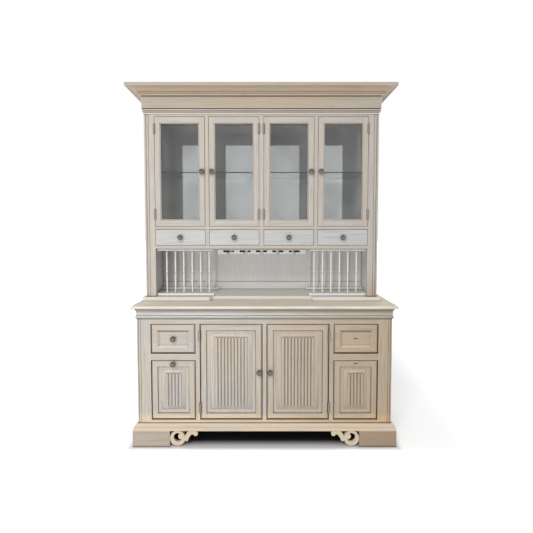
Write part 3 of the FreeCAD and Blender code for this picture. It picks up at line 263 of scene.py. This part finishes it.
def antique_paint(
    name, pale, streak, warm, cool, crease_shade_amount=0.86, hollow_shade_amount=0.35, edge_highlight_amount=0.75,
    painted_tint_facing_down=(0.60, 0.56, 0.51), painted_tint_facing_up=(1.30, 1.28, 1.25), with_painted_place_shading=True,
):
    """Brushed off-white paint. Painted shade darkens its hollows and creases, where it also stands
    for brown glaze; a painted highlight pales its outward edges, where it also stands for paint
    rubbed off; faces turned down and up take tints of painted light and shade.
    """
    material, tree = new_tree(name)
    place = shader_node(tree, "ShaderNodeAttribute", attribute_name="grain_place").outputs["Vector"]
    tone = shader_node(tree, "ShaderNodeAttribute", attribute_name="board_tone").outputs["Fac"]
    streaks = stretched_noise(
        tree, place, STREAKS_PER_METRE, STREAK_DETAIL, STREAK_NOISE_ROUGHNESS
    )
    mottle = stretched_noise(tree, place, MOTTLE_PER_METRE, MOTTLE_DETAIL)
    specks = stretched_noise(tree, place, SPECKS_PER_METRE, SPECK_DETAIL)

    colour = blend_colours(tree, ramp(tree, streaks, STREAK_BAND), pale, streak)
    for amount, layer in (
        (ramp(tree, mottle, WARM_BAND, (0, WARM_AMOUNT)), warm),
        (ramp(tree, mottle, COOL_BAND, (COOL_AMOUNT, 0)), cool),
        (ramp(tree, tone, (0, 1), (0, BOARD_TONE_AMOUNT)), streak),
        (ramp(tree, specks, SPECK_BAND, (0, SPECK_AMOUNT)), DARK_GLAZE_AND_SHADE),
    ):
        colour = blend_colours(tree, amount, colour, layer)
    # Painted glow at the foot rail and painted shade towards the right
    if with_painted_place_shading:
        colour = painted_glow_and_shade_by_place(tree, colour)

    # Painted shading by facing: downward faces take a tint that is painted shade (painted light on
    # the crown), upward faces a tint that is painted light
    facing = shader_node(tree, "ShaderNodeNewGeometry").outputs["Normal"]
    upward = split(tree, facing)["Z"]
    painted_shade_below_share = ramp(tree, upward, DOWNWARD_PAINTED_SHADING_BAND, (1, 0))
    colour = blend_colours(tree, painted_shade_below_share, colour, painted_tint_facing_down, "MULTIPLY")
    colour = blend_colours(tree, ramp(tree, upward, UPWARD_PAINTED_SHADING_BAND), colour, painted_tint_facing_up, "MULTIPLY")

    # Painted highlight: outward edges are paled, which also stands for paint rubbed pale there
    edge = ramp(tree, openness(tree, EDGE_HIGHLIGHT_REACH, inside=True), EDGE_HIGHLIGHT_BAND, (1, 0))
    pale_edge_highlight = tuple(min(EDGE_HIGHLIGHT_LIMIT, level * EDGE_HIGHLIGHT_GAIN) for level in pale)
    colour = blend_colours(tree, multiply(tree, edge, edge_highlight_amount), colour, pale_edge_highlight)
    # Painted shade: hollows and creases are darkened by how little open they are, which also stands
    # for glaze left in them
    hollow = ramp(tree, openness(tree, HOLLOW_SHADE_REACH), HOLLOW_SHADE_BAND, (1, 0))
    hollow = multiply(tree, hollow, hollow_shade_amount)
    colour = blend_colours(tree, hollow, colour, SOFT_GLAZE_AND_SHADE, "MULTIPLY")
    crease_shade_and_glaze = ramp(tree, openness(tree, CREASE_SHADE_REACH), CREASE_SHADE_BAND, (1, 0), "LINEAR")
    least_crease_shade_and_glaze = crease_shade_amount * CREASE_SHADE_LEAST_SHARE
    rubbed = ramp(tree, mottle, MIDDLE_BAND, (least_crease_shade_and_glaze, crease_shade_amount))
    colour = blend_colours(tree, multiply(tree, crease_shade_and_glaze, rubbed), colour, DARK_GLAZE_AND_SHADE)

    paint = principled(
        tree, Base_Color=colour, Roughness=ramp(tree, streaks, MIDDLE_BAND, PAINT_ROUGHNESS),
        Normal=bumps(tree, streaks, STREAK_BUMP_STRENGTH, STREAK_BUMP_HEIGHT),
    )
    paint.inputs["Specular IOR Level"].default_value = 0.35
    show_surface(tree, paint)
    return material


def painted_glow_and_shade_by_place(tree, colour):
    """Painted light and shade by place: a warm painted glow at the foot rail, and painted shade
    that darkens the paint towards the right, deeper and warmer low down.
    """
    axes = split(tree, object_place(tree))
    shade = blend_colours(tree, ramp(tree, axes["Z"], FOOT_TO_HEAD_BAND), SHADED_FOOT, SHADED_HEAD)
    at_foot = ramp(tree, axes["Z"], FOOT_RAIL_BAND, (1, 0))
    colour = blend_colours(tree, at_foot, colour, PAINTED_FOOT_GLOW, "MULTIPLY")
    at_right = ramp(tree, axes["X"], LEFT_TO_RIGHT_BAND)
    return blend_colours(tree, at_right, colour, shade, "MULTIPLY")


UNTINTED = (1, 1, 1)
# A faint painted shade on downward faces
FAINT_PAINTED_SHADE_BELOW = (0.9, 0.88, 0.85)

CREAM = antique_paint(
    "cream_paint", (0.60, 0.555, 0.50), (0.49, 0.445, 0.39), (0.58, 0.50, 0.405),
    (0.50, 0.48, 0.455),
)
AGED = antique_paint(
    "aged_cream_paint", (0.63, 0.58, 0.515), (0.50, 0.45, 0.39), (0.60, 0.50, 0.39),
    (0.50, 0.48, 0.45),
)
TAUPE = antique_paint(
    "taupe_paint", (0.51, 0.44, 0.355), (0.42, 0.355, 0.28), (0.52, 0.41, 0.295),
    (0.45, 0.42, 0.38), with_painted_place_shading=False,
)
# The crown's downward faces get painted light rather than painted shade
CROWN = antique_paint(
    "crown_paint", (0.53, 0.455, 0.375), (0.44, 0.37, 0.295), (0.55, 0.44, 0.315),
    (0.47, 0.44, 0.40), crease_shade_amount=0.7, hollow_shade_amount=0.0, edge_highlight_amount=0.1,
    painted_tint_facing_down=(1.28, 1.22, 1.12), painted_tint_facing_up=UNTINTED, with_painted_place_shading=False,
)
SAND = antique_paint(
    "sand_paint", (0.76, 0.635, 0.49), (0.66, 0.54, 0.40), (0.76, 0.60, 0.43), (0.68, 0.60, 0.50),
    crease_shade_amount=0.3, hollow_shade_amount=0.15, painted_tint_facing_down=FAINT_PAINTED_SHADE_BELOW, painted_tint_facing_up=UNTINTED, with_painted_place_shading=False,
)
FOOT = antique_paint(
    "foot_paint", (0.385, 0.365, 0.37), (0.31, 0.29, 0.285), (0.375, 0.345, 0.33),
    (0.335, 0.33, 0.34),
)
# Strong painted shade on downward faces and strong painted light on upward faces
WAIST = antique_paint(
    "grey_cream_paint", (0.54, 0.54, 0.52), (0.44, 0.43, 0.41), (0.54, 0.50, 0.44),
    (0.47, 0.475, 0.47), painted_tint_facing_down=(0.74, 0.73, 0.71), painted_tint_facing_up=(1.6, 1.57, 1.52),
)
# The top's own tan, made paler than it is: painted light and sheen on the top
TAN_TOP_PAINTED_LIGHT = antique_paint(
    "tan_top", (0.86, 0.785, 0.655), (0.70, 0.62, 0.495), (0.82, 0.71, 0.555), (0.76, 0.72, 0.635),
    crease_shade_amount=0.5, hollow_shade_amount=0.1, painted_tint_facing_down=FAINT_PAINTED_SHADE_BELOW, painted_tint_facing_up=UNTINTED, with_painted_place_shading=False,
)
WHITE = antique_paint(
    "bright_paint", (0.62, 0.615, 0.605), (0.50, 0.49, 0.475), (0.58, 0.555, 0.52),
    (0.52, 0.525, 0.53), crease_shade_amount=0.8,
)
DECK = antique_paint(
    "deck_paint", (0.86, 0.835, 0.78), (0.76, 0.72, 0.66), (0.84, 0.78, 0.68), (0.80, 0.79, 0.76),
    crease_shade_amount=0.35, hollow_shade_amount=0.1, painted_tint_facing_down=FAINT_PAINTED_SHADE_BELOW, painted_tint_facing_up=UNTINTED, with_painted_place_shading=False,
)
# The cream paint made much paler for the inside: painted light where the lamps reach little
INSIDE_PAINTED_LIGHT = antique_paint(
    "inside_paint", (0.84, 0.83, 0.81), (0.74, 0.73, 0.71), (0.80, 0.77, 0.72), (0.75, 0.76, 0.77),
    crease_shade_amount=0.5, hollow_shade_amount=0.05, with_painted_place_shading=False,
)
RACK = antique_paint(
    "rack_paint", (0.86, 0.85, 0.83), (0.76, 0.75, 0.72), (0.82, 0.79, 0.74), (0.77, 0.78, 0.78),
    crease_shade_amount=0.7, hollow_shade_amount=0.1, with_painted_place_shading=False,
)
RAW = antique_paint(
    "unpainted_wood", (0.56, 0.44, 0.30), (0.40, 0.29, 0.18), (0.50, 0.36, 0.22),
    (0.50, 0.40, 0.28), crease_shade_amount=0.4, with_painted_place_shading=False,
)

# Metal and glass

METAL_CLOUDS_PER_METRE = (220, 220, 220)
METAL_CLOUD_DETAIL = 4
METAL_CLOUD_BAND = (0.35, 0.7)
METAL_CLOUD_AMOUNT = 0.5
METAL_HOLLOW_REACH = 6 * MM
METAL_HOLLOW_BAND = (0.45, 0.97)
METAL_HOLLOW_AMOUNT = 0.95
METAL_BUMP_STRENGTH = 0.3
METAL_BUMP_HEIGHT = 0.3 * MM
METAL_ROUGHNESS_SPREAD = 0.15

DUST_PER_METRE = (9, 9, 3)
DUST_DETAIL = 4
DUST_BAND = (0.45, 0.8)
DUST_ROUGHNESS = (0.0, 0.05)

MIRROR_COLOUR = (0.58, 0.585, 0.59)
MIRROR_CLOUD_COLOUR = (0.44, 0.445, 0.45)
MIRROR_CLOUDS_PER_METRE = (5, 5, 4)
MIRROR_CLOUD_DETAIL = 5
MIRROR_CLOUD_BAND = (0.4, 0.7)
MIRROR_CLOUD_AMOUNT = 0.9
MIRROR_ROUGHNESS_BAND = (0.35, 0.8)
MIRROR_ROUGHNESS = (0.02, 0.10)


def aged_metal(name, pale, dark, roughness, metallic=1.0):
    """Cast metal, rubbed bright on what stands out and dark in the hollows."""
    material, tree = new_tree(name)
    cloud = stretched_noise(tree, object_place(tree), METAL_CLOUDS_PER_METRE, METAL_CLOUD_DETAIL)
    clouded = ramp(tree, cloud, METAL_CLOUD_BAND, (0, METAL_CLOUD_AMOUNT))
    colour = blend_colours(tree, clouded, pale, dark)
    hollow = ramp(
        tree, openness(tree, METAL_HOLLOW_REACH), METAL_HOLLOW_BAND, (METAL_HOLLOW_AMOUNT, 0)
    )
    colour = blend_colours(tree, hollow, colour, dark)
    roughest = roughness + METAL_ROUGHNESS_SPREAD
    metal = principled(
        tree, Base_Color=colour, Roughness=ramp(tree, cloud, MIDDLE_BAND, (roughness, roughest)),
        Normal=bumps(tree, cloud, METAL_BUMP_STRENGTH, METAL_BUMP_HEIGHT),
    )
    metal.inputs["Metallic"].default_value = metallic
    show_surface(tree, metal)
    return material


def clear_glass(name, tint):
    """Window glass with faint streaks of dust; lamps shine through it."""
    material, tree = new_tree(name)
    dust = stretched_noise(tree, object_place(tree), DUST_PER_METRE, DUST_DETAIL)
    pane = principled(
        tree, Base_Color=rgb(tint), Roughness=ramp(tree, dust, DUST_BAND, DUST_ROUGHNESS)
    )
    pane.inputs["Transmission Weight"].default_value = 1.0
    pane.inputs["IOR"].default_value = 1.45
    passing = shader_node(tree, "ShaderNodeBsdfTransparent", {"Color": rgb(tint)})
    lamp_ray = shader_node(tree, "ShaderNodeLightPath").outputs["Is Shadow Ray"]
    inputs = {0: lamp_ray, 1: pane.outputs[0], 2: passing.outputs[0]}
    show_surface(tree, shader_node(tree, "ShaderNodeMixShader", inputs))
    return material


def old_mirror(name):
    """Silvered glass, a little grey and clouded."""
    material, tree = new_tree(name)
    cloud = stretched_noise(tree, object_place(tree), MIRROR_CLOUDS_PER_METRE, MIRROR_CLOUD_DETAIL)
    clouded = ramp(tree, cloud, MIRROR_CLOUD_BAND, (0, MIRROR_CLOUD_AMOUNT))
    silver = principled(
        tree, Base_Color=blend_colours(tree, clouded, MIRROR_COLOUR, MIRROR_CLOUD_COLOUR),
        Roughness=ramp(tree, cloud, MIRROR_ROUGHNESS_BAND, MIRROR_ROUGHNESS),
    )
    silver.inputs["Metallic"].default_value = 0.6
    show_surface(tree, silver)
    return material


PEWTER = aged_metal("pewter", (0.22, 0.20, 0.175), (0.016, 0.014, 0.012), 0.27)
PAINTED_IRON = aged_metal(
    "painted_iron", (0.46, 0.42, 0.36), (0.20, 0.17, 0.13), 0.5, metallic=0.3
)
STEEL = aged_metal("zinc_steel", (0.55, 0.56, 0.57), (0.25, 0.25, 0.25), 0.35)
PANE = clear_glass("door_glass", (0.90, 0.91, 0.91))
SHELF = clear_glass("shelf_glass", (0.46, 0.56, 0.52))
MIRROR = old_mirror("mirror")

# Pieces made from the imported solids

EASED_EDGE = 0.9 * MM
ROUNDED_EDGE = 3 * MM
PANEL_EDGE = 0.5 * MM
GLASS_EDGE = 0.4 * MM
HINGE_EDGE = 0.25 * MM
SAME_POINT = 0.002 * MM
FLAT_ANGLE = math.radians(0.6)
EDGE_ANGLE = math.radians(32)
NEARLY_SQUARE = 0.8
GRAIN_SPREAD = 20


def closed_solids(data):
    """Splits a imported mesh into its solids. Its triangles come solid by solid, and a solid ends
    where no edge is left open."""
    corners = [tuple(round(level / SAME_POINT) for level in vert.co) for vert in data.vertices]
    open_edges = set()
    triangles = []
    for polygon in data.polygons:
        triangle = [corners[index] for index in polygon.vertices]
        triangles.append(triangle)
        for start, end in zip(triangle, triangle[1:] + triangle[:1]):
            if (end, start) in open_edges:
                open_edges.remove((end, start))
            else:
                open_edges.add((start, end))
        if not open_edges:
            yield triangles
            triangles = []
    if triangles:
        raise ValueError(f"{data.name} is not closed")


def solid_mesh(triangles):
    """One solid with its points welded and its flat faces joined up."""
    mesh = bmesh.new()
    verts = {}
    for triangle in triangles:
        for corner in triangle:
            if corner not in verts:
                verts[corner] = mesh.verts.new(Vector(corner) * SAME_POINT)
        if len(set(triangle)) == 3:
            mesh.faces.new([verts[corner] for corner in triangle])
    bmesh.ops.dissolve_limit(mesh, angle_limit=FLAT_ANGLE, verts=mesh.verts, edges=mesh.edges)
    return mesh


def add_mesh(whole, part):
    """Adds a part to a mesh, with no point shared between them, and frees the part."""
    data = mesh_data(part, "part")
    whole.from_mesh(data)
    bpy.data.meshes.remove(data)


def extent(points):
    low = Vector([min(p[axis] for p in points) for axis in range(3)])
    high = Vector([max(p[axis] for p in points) for axis in range(3)])
    return low, high


def ease_edges(mesh, width, segments=2):
    """Rounds the outward edges a little, as sanding and paint do."""
    sharp = [
        e for e in mesh.edges
        if len(e.link_faces) == 2 and e.calc_face_angle_signed() > EDGE_ANGLE
    ]
    bmesh.ops.bevel(
        mesh, geom=sharp, offset=width, segments=segments, profile=0.5, affect="EDGES",
        clamp_overlap=True, loop_slide=True,
    )


def node_mesh(node, width=0.0, knob_slot=None):
    """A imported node's solids in one mesh, their outward edges eased by a width. The board that
    the point of a knob slot lies in gets that slot."""
    whole = bmesh.new()
    for triangles in closed_solids(NODES[node].data):
        part = solid_mesh(triangles)
        if width:
            ease_edges(part, width)
        if knob_slot and holds(part, knob_slot):
            part = with_knob_slot(part, knob_slot)
        add_mesh(whole, part)
    return whole


def holds(mesh, point):
    low, high = extent([vert.co for vert in mesh.verts])
    return all(
        low[axis] - SAME_POINT <= point[axis] <= high[axis] + SAME_POINT for axis in range(3)
    )


def islands(mesh):
    """The separate boards of a mesh, each a list of its points."""
    seen = set()
    groups = []
    for start in mesh.verts:
        if start in seen:
            continue
        seen.add(start)
        group = [start]
        for vert in group:
            for edge in vert.link_edges:
                other = edge.other_vert(vert)
                if other not in seen:
                    seen.add(other)
                    group.append(other)
        groups.append(group)
    return groups


def grain_axis(size):
    """The axis that the grain runs along: the longest, or upright on a nearly square board."""
    longest = max(range(3), key=lambda axis: size[axis])
    if longest != 2 and size[2] > size[longest] * NEARLY_SQUARE:
        return 2
    return longest


def lay_grain(mesh, seed, along=None):
    """Gives each board its own place in the grain and its own tone."""
    chance = random.Random(seed)
    place = mesh.verts.layers.float_vector.new("grain_place")
    tone = mesh.verts.layers.float.new("board_tone")
    for group in islands(mesh):
        low, high = extent([v.co for v in group])
        axis = grain_axis(high - low) if along is None else along
        shift = Vector([chance.uniform(0, GRAIN_SPREAD) for _ in range(3)])
        board_tone = chance.random()
        for vert in group:
            across = [vert.co[other] for other in range(3) if other != axis]
            vert[place] = Vector((vert.co[axis], *across)) + shift
            vert[tone] = board_tone


def piece_from(mesh, name, material, body):
    """Makes an object from a mesh, smooth but for its sharp edges, and lets it ride."""
    data = mesh_data(mesh, name)
    data.shade_smooth()
    data.set_sharp_from_angle(angle=EDGE_ANGLE)
    data.materials.append(material)
    piece = add_object(name, data)
    even = piece.modifiers.new("even_normals", "WEIGHTED_NORMAL")
    even.keep_sharp = True
    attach(piece, body)
    return piece


def dress(
    node, material, width=EASED_EDGE, along=None, knob_slot=None
):
    """The node's own form with eased edges, grain and paint."""
    mesh = node_mesh(node, width, knob_slot)
    lay_grain(mesh, node, along)
    piece = piece_from(mesh, f"{node}_dressed", material, BODY_OF[node])
    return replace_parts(piece, node)


def paint_inside(piece, material):
    """Gives the faces that look towards the middle of the width a paint of their own, paler than
    the
    outer paint: painted light on the inside.
    """
    piece.data.materials.append(material)
    for face in piece.data.polygons:
        if face.normal.x * math.copysign(1, face.center.x) < -math.cos(EDGE_ANGLE):
            face.material_index = 1


# Turned forms


def turned(mesh, profile, place, segments=32, flutes=None):
    """Adds a turned form to a mesh. The profile is (radius, height) from end to end; place
    moves it from its own upright axis. flutes is (count, depth share, low, high)."""
    rings = []
    for radius, height in profile:
        ring = []
        for step in range(segments):
            angle = 2 * math.pi * step / segments
            reach = radius
            if flutes and flutes[2] <= height <= flutes[3]:
                reach *= 1 - flutes[1] * (0.5 - 0.5 * math.cos(flutes[0] * angle))
            point = Vector((reach * math.cos(angle), reach * math.sin(angle), height))
            ring.append(mesh.verts.new(place @ point))
        rings.append(ring)
    for low, high in zip(rings, rings[1:]):
        for step in range(segments):
            after = (step + 1) % segments
            mesh.faces.new((low[step], low[after], high[after], high[step]))
    mesh.faces.new(list(reversed(rings[0])))
    mesh.faces.new(rings[-1])


def turn_about_x(angle):
    return Euler((angle, 0, 0)).to_matrix().to_4x4()


# The slot that a missing knob has left, widest at its worn mouth. Its profile: radius as a share
# of the slot's half height, place as a share of its depth

KNOB_SLOT_RADIUS = 2.4 * MM
KNOB_SLOT_STRETCH = 5.0
KNOB_SLOT_DEPTH = 11 * MM
KNOB_SLOT_SHARES = [(1.5, -0.6), (1.5, 0.0), (1.0, 0.12), (1.0, 0.9), (0.1, 1.0)]


def with_knob_slot(board_mesh, place):
    """The board with the slot cut back from a point on its front."""
    cutter_mesh = bmesh.new()
    profile = [(KNOB_SLOT_RADIUS * r, KNOB_SLOT_DEPTH * h) for r, h in KNOB_SLOT_SHARES]
    stretch = Matrix.Diagonal((KNOB_SLOT_STRETCH, 1, 1, 1))
    turned(cutter_mesh, profile, Matrix.Translation(place) @ stretch @ turn_about_x(-math.pi / 2))
    board = add_object("board", mesh_data(board_mesh, "board"))
    cutter = add_object("cutter", mesh_data(cutter_mesh, "cutter"))
    cut = board.modifiers.new("cut", "BOOLEAN")
    cut.object = cutter
    settled = board.evaluated_get(bpy.context.evaluated_depsgraph_get())
    slotted = bmesh.new()
    slotted.from_mesh(settled.data)
    for used in (board, cutter):
        data = used.data
        bpy.data.objects.remove(used)
        bpy.data.meshes.remove(data)
    return slotted


# A knob's profile: radius as a share of the head's radius, height as a share of the projection

KNOB_SHARES = [
    (0.60, 0.00), (0.62, 0.03), (0.60, 0.08), (0.50, 0.10), (0.50, 0.13), (0.40, 0.18),
    (0.34, 0.26), (0.33, 0.36), (0.38, 0.46), (0.55, 0.53), (0.80, 0.58), (0.95, 0.63),
    (1.00, 0.69), (1.00, 0.74), (0.95, 0.79), (0.84, 0.80), (0.80, 0.79), (0.76, 0.81),
    (0.70, 0.88), (0.55, 0.95), (0.38, 0.98), (0.36, 0.97), (0.32, 0.97), (0.28, 0.99),
    (0.12, 1.00),
]
RIM_SHARES = (0.60, 0.80)
RIM_FLUTES = 24
RIM_FLUTE_DEPTH = 0.05
SEGMENTS_PER_FLUTE = 4


def add_knob(name, low, high, body, node=None):
    """A cast knob with a fluted rim in the box from low to high; it points forward."""
    radius = (high.x - low.x) / 2
    reach = high.y - low.y
    seat = Vector(((low.x + high.x) / 2, high.y, (low.z + high.z) / 2))
    mesh = bmesh.new()
    profile = [(radius * r, reach * h) for r, h in KNOB_SHARES]
    flutes = (RIM_FLUTES, RIM_FLUTE_DEPTH, reach * RIM_SHARES[0], reach * RIM_SHARES[1])
    turned(
        mesh, profile, Matrix.Translation(seat) @ turn_about_x(math.pi / 2),
        segments=RIM_FLUTES * SEGMENTS_PER_FLUTE, flutes=flutes,
    )
    piece = piece_from(mesh, name, PEWTER, body)
    if node:
        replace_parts(piece, node)
    return piece


# The lower half of a spindle's profile, which the upper half mirrors: radius as a share of the
# thickest, height as a share of the length

SPINDLE_SHARES = [
    (0.80, 0.000), (0.80, 0.040), (0.88, 0.046), (0.92, 0.056), (0.88, 0.066), (0.72, 0.070),
    (0.72, 0.080), (0.80, 0.086), (0.80, 0.098), (0.68, 0.106), (0.72, 0.160), (0.80, 0.230),
    (0.86, 0.300), (0.88, 0.340), (0.84, 0.390), (0.76, 0.430), (0.72, 0.445), (0.84, 0.452),
    (0.88, 0.462), (0.84, 0.472), (0.76, 0.476), (0.84, 0.482), (0.97, 0.490), (1.00, 0.500),
]
SPINDLE_SEGMENTS = 20


def build_spindles():
    node = "plate_rack_spindles"
    source = node_mesh(node)
    mesh = bmesh.new()
    mirrored = [(r, 1 - h) for r, h in reversed(SPINDLE_SHARES[:-1])]
    for group in islands(source):
        low, high = extent([v.co for v in group])
        radius = (high.x - low.x) / 2
        length = high.z - low.z
        foot = Vector(((low.x + high.x) / 2, (low.y + high.y) / 2, low.z))
        profile = [(radius * r, length * h) for r, h in SPINDLE_SHARES + mirrored]
        turned(mesh, profile, Matrix.Translation(foot), segments=SPINDLE_SEGMENTS)
    source.free()
    lay_grain(mesh, node)
    piece = piece_from(mesh, "plate_rack_turnings", RACK, BODY_OF[node])
    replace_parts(piece, node)


KNOB_LENGTH_LIMIT = 45 * MM


def build_fittings(node):
    """A door's knob and hinge leaves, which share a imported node."""
    hinges = bmesh.new()
    for triangles in closed_solids(NODES[node].data):
        part = solid_mesh(triangles)
        low, high = extent([vert.co for vert in part.verts])
        if high.z - low.z < KNOB_LENGTH_LIMIT:
            part.free()
            add_knob(f"{node}_knob", low, high, BODY_OF[node])
        else:
            ease_edges(part, HINGE_EDGE, segments=1)
            add_mesh(hinges, part)
    piece = piece_from(hinges, f"{node}_hinges", PAINTED_IRON, BODY_OF[node])
    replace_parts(piece, node)


# The whole piece of furniture

PAINTS = {
    CREAM: ["hutch_sides", "hutch_face_frame", "neck_moulding"],
    RACK: ["plate_rack_rails"],
    INSIDE_PAINTED_LIGHT: ["hutch_back", "hutch_inner_boards"],
    AGED: [
        "buffet_sides", "buffet_face_frame", "buffet_back", "buffet_inner_boards", "buffet_shelf",
    ],
    WAIST: ["waist_moulding"],
    FOOT: ["feet"],
    SAND: ["base_moulding"],
    TAUPE: ["frieze"],
    CROWN: ["crown_moulding"],
}
ACROSS_THE_FRONT = 0
FRONT_TO_BACK = 1

add_camera()
for paint, painted in PAINTS.items():
    for node in painted:
        dress(node, paint)
# The hutch sides' inward faces get the paler inside paint, which is painted light
paint_inside(bpy.data.objects["hutch_sides_dressed"], INSIDE_PAINTED_LIGHT)
dress("scroll_brackets", SAND, width=ROUNDED_EDGE)
dress("buffet_top", TAN_TOP_PAINTED_LIGHT, along=ACROSS_THE_FRONT)
dress("hutch_deck", DECK, width=ROUNDED_EDGE, along=ACROSS_THE_FRONT)
dress("stemware_rack", WHITE, along=FRONT_TO_BACK)
dress("drawer_runners", RAW)
dress("shelf_pins", STEEL)
dress("hinge_frame_leaves", PAINTED_IRON, width=HINGE_EDGE)
dress("mirror_back", MIRROR)
dress("glass_shelves", SHELF)
build_spindles()

for number in range(1, 5):
    door = f"hutch_door_{number}"
    drawer = f"hutch_drawer_{number}"
    dress(f"{door}_frame", CREAM)
    dress(f"{door}_glass", PANE, width=GLASS_EDGE)
    build_fittings(f"{door}_fittings")
    dress(drawer, WHITE)
    add_knob(f"{drawer}_pull", *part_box(f"{drawer}_knob"), drawer, f"{drawer}_knob")
for side in ("left", "right"):
    door = f"buffet_door_{side}"
    dress(f"{door}_frame", AGED)
    dress(f"{door}_panel", AGED, width=PANEL_EDGE)
    build_fittings(f"{door}_fittings")
for kind in ("buffet_drawer", "deep_drawer"):
    knob = f"{kind}_left_knob"
    low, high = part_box(knob)
    dress(f"{kind}_left", AGED)
    add_knob(f"{kind}_left_pull", low, high, f"{kind}_left", knob)
    left_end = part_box(f"{kind}_left")[0]
    right_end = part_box(f"{kind}_right")[1]
    mirrored_x = left_end.x + right_end.x - (low.x + high.x) / 2
    knob_slot = (mirrored_x, high.y, (low.z + high.z) / 2)
    dress(f"{kind}_right", AGED, knob_slot=knob_slot)

# Floor, light and world

PLAIN_WHITE = (1, 1, 1)
FLOOR_SIZE = 40.0

# The floor's glow, by the distance from the furniture or by the place on the floor

NEAR_GLOW = 0.40
NEAR_GLOW_BAND = (0, 0.04)
FAR_GLOW = 0.6
FAR_GLOW_BAND = (1.2, 3.0)
FRONT_GLOW = 0.25
LEFT_GLOW = 0.20
GLOW_MARGIN = 0.10
RIGHT_GLOW = 0.22
RIGHT_GLOW_BAND = (0.3, 0.9)

# How light the floor is seen and how much light it throws back, beneath the furniture, where it
# is painted dark as a painted shadow, and away from it

PAINTED_SHADOW_BAND = (-0.09, 0.0)
PAINTED_SHADOW_LEVEL = 0.03
SEEN_LEVEL = 0.9
BOUNCE_LEVEL = 0.75

SKY_COLOUR = (0.97, 0.98, 1.0)
SKY_LEVEL = 0.50
LAMPS = {
    "key": {"place": (-1.1, -4.1, 4.1), "target": (0, 0, 1.0), "size": (1.4, 1.4), "power": 90},
    "fill": {"place": (-1.6, -3.9, 0.7), "target": (0, 0, 1.2), "size": (1.8, 1.2), "power": 45},
}


def seen_ray(tree):
    """1 for rays that come from the camera, straight or by a mirror or glass."""
    rays = shader_node(tree, "ShaderNodeLightPath").outputs
    seen = calculate(tree, "MAXIMUM", rays["Is Camera Ray"], rays["Is Glossy Ray"])
    return calculate(tree, "MAXIMUM", seen, rays["Is Transmission Ray"])


def distance_from(tree, place, low, high):
    """How far a place on the floor lies outside a box, less than 0 under it."""
    middle = (low + high) / 2
    half = (high - low) / 2
    away = combine_vectors(tree, "SUBTRACT", place, (middle.x, middle.y, 0))
    away = shader_node(tree, "ShaderNodeVectorMath", {0: away}, operation="ABSOLUTE").outputs[0]
    past = split(tree, combine_vectors(tree, "SUBTRACT", away, (half.x, half.y, 0)))
    return calculate(tree, "MAXIMUM", past["X"], past["Y"])


def build_floor():
    """A white floor. Its colour is painted dark beneath the furniture, a painted shadow; a glow
    turns it plain white away from it.
    """
    mesh = bmesh.new()
    bmesh.ops.create_grid(mesh, x_segments=1, y_segments=1, size=FLOOR_SIZE)
    floor = add_object("studio_floor", mesh_data(mesh, "studio_floor"))

    material, tree = new_tree("pale_floor")
    low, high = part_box("base_moulding")
    place = object_place(tree)
    distance = distance_from(tree, place, low, high)
    ground = split(tree, place)
    right_band = tuple(high.x + level for level in RIGHT_GLOW_BAND)
    glow = ramp(tree, distance, NEAR_GLOW_BAND, (0, NEAR_GLOW))
    for more in (
        ramp(tree, distance, FAR_GLOW_BAND, (0, FAR_GLOW)),
        ramp(tree, ground["Y"], (low.y - GLOW_MARGIN, low.y), (FRONT_GLOW, 0)),
        ramp(tree, ground["X"], (low.x - GLOW_MARGIN, low.x), (LEFT_GLOW, 0)),
        ramp(tree, ground["X"], right_band, (0, RIGHT_GLOW)),
    ):
        glow = calculate(tree, "ADD", glow, more)
    inputs = {"Color": rgb(PLAIN_WHITE), "Strength": multiply(tree, glow, seen_ray(tree))}
    light = shader_node(tree, "ShaderNodeEmission", inputs)
    # Painted shadow: the floor's colour, and the light it throws back, are made dark beneath the
    # furniture
    shade = ramp(tree, distance, PAINTED_SHADOW_BAND, (PAINTED_SHADOW_LEVEL, SEEN_LEVEL))
    bounce = ramp(tree, distance, PAINTED_SHADOW_BAND, (PAINTED_SHADOW_LEVEL, BOUNCE_LEVEL))
    level = blend_colours(tree, seen_ray(tree), bounce, shade)
    matt = shader_node(tree, "ShaderNodeBsdfDiffuse", {"Color": level})
    inputs = {0: matt.outputs[0], 1: light.outputs[0]}
    show_surface(tree, shader_node(tree, "ShaderNodeAddShader", inputs))
    floor.data.materials.append(material)


def build_world():
    world = bpy.data.worlds.new("studio")
    bpy.context.scene.world = world
    world.use_nodes = True
    tree = world.node_tree
    tree.nodes.clear()
    inputs = {"Color": rgb(PLAIN_WHITE), "Strength": 1.0}
    white = shader_node(tree, "ShaderNodeBackground", inputs)
    inputs = {"Color": rgb(SKY_COLOUR), "Strength": SKY_LEVEL}
    sky = shader_node(tree, "ShaderNodeBackground", inputs)
    inputs = {0: seen_ray(tree), 1: sky.outputs[0], 2: white.outputs[0]}
    mixed = shader_node(tree, "ShaderNodeMixShader", inputs)
    shader_node(tree, "ShaderNodeOutputWorld", {"Surface": mixed.outputs[0]})


def add_lamp(name, place, target, size, power):
    data = bpy.data.lights.new(name, "AREA")
    data.shape = "RECTANGLE"
    data.size, data.size_y = size
    data.energy = power
    lamp = add_object(name, data)
    lamp.location = place
    lamp.rotation_euler = (Vector(target) - Vector(place)).to_track_quat("-Z", "Y").to_euler()
    lamp.visible_glossy = False
    lamp.visible_transmission = False


build_floor()
build_world()
for name, lamp in LAMPS.items():
    add_lamp(name, **lamp)

bpy.context.scene.view_settings.view_transform = "Standard"
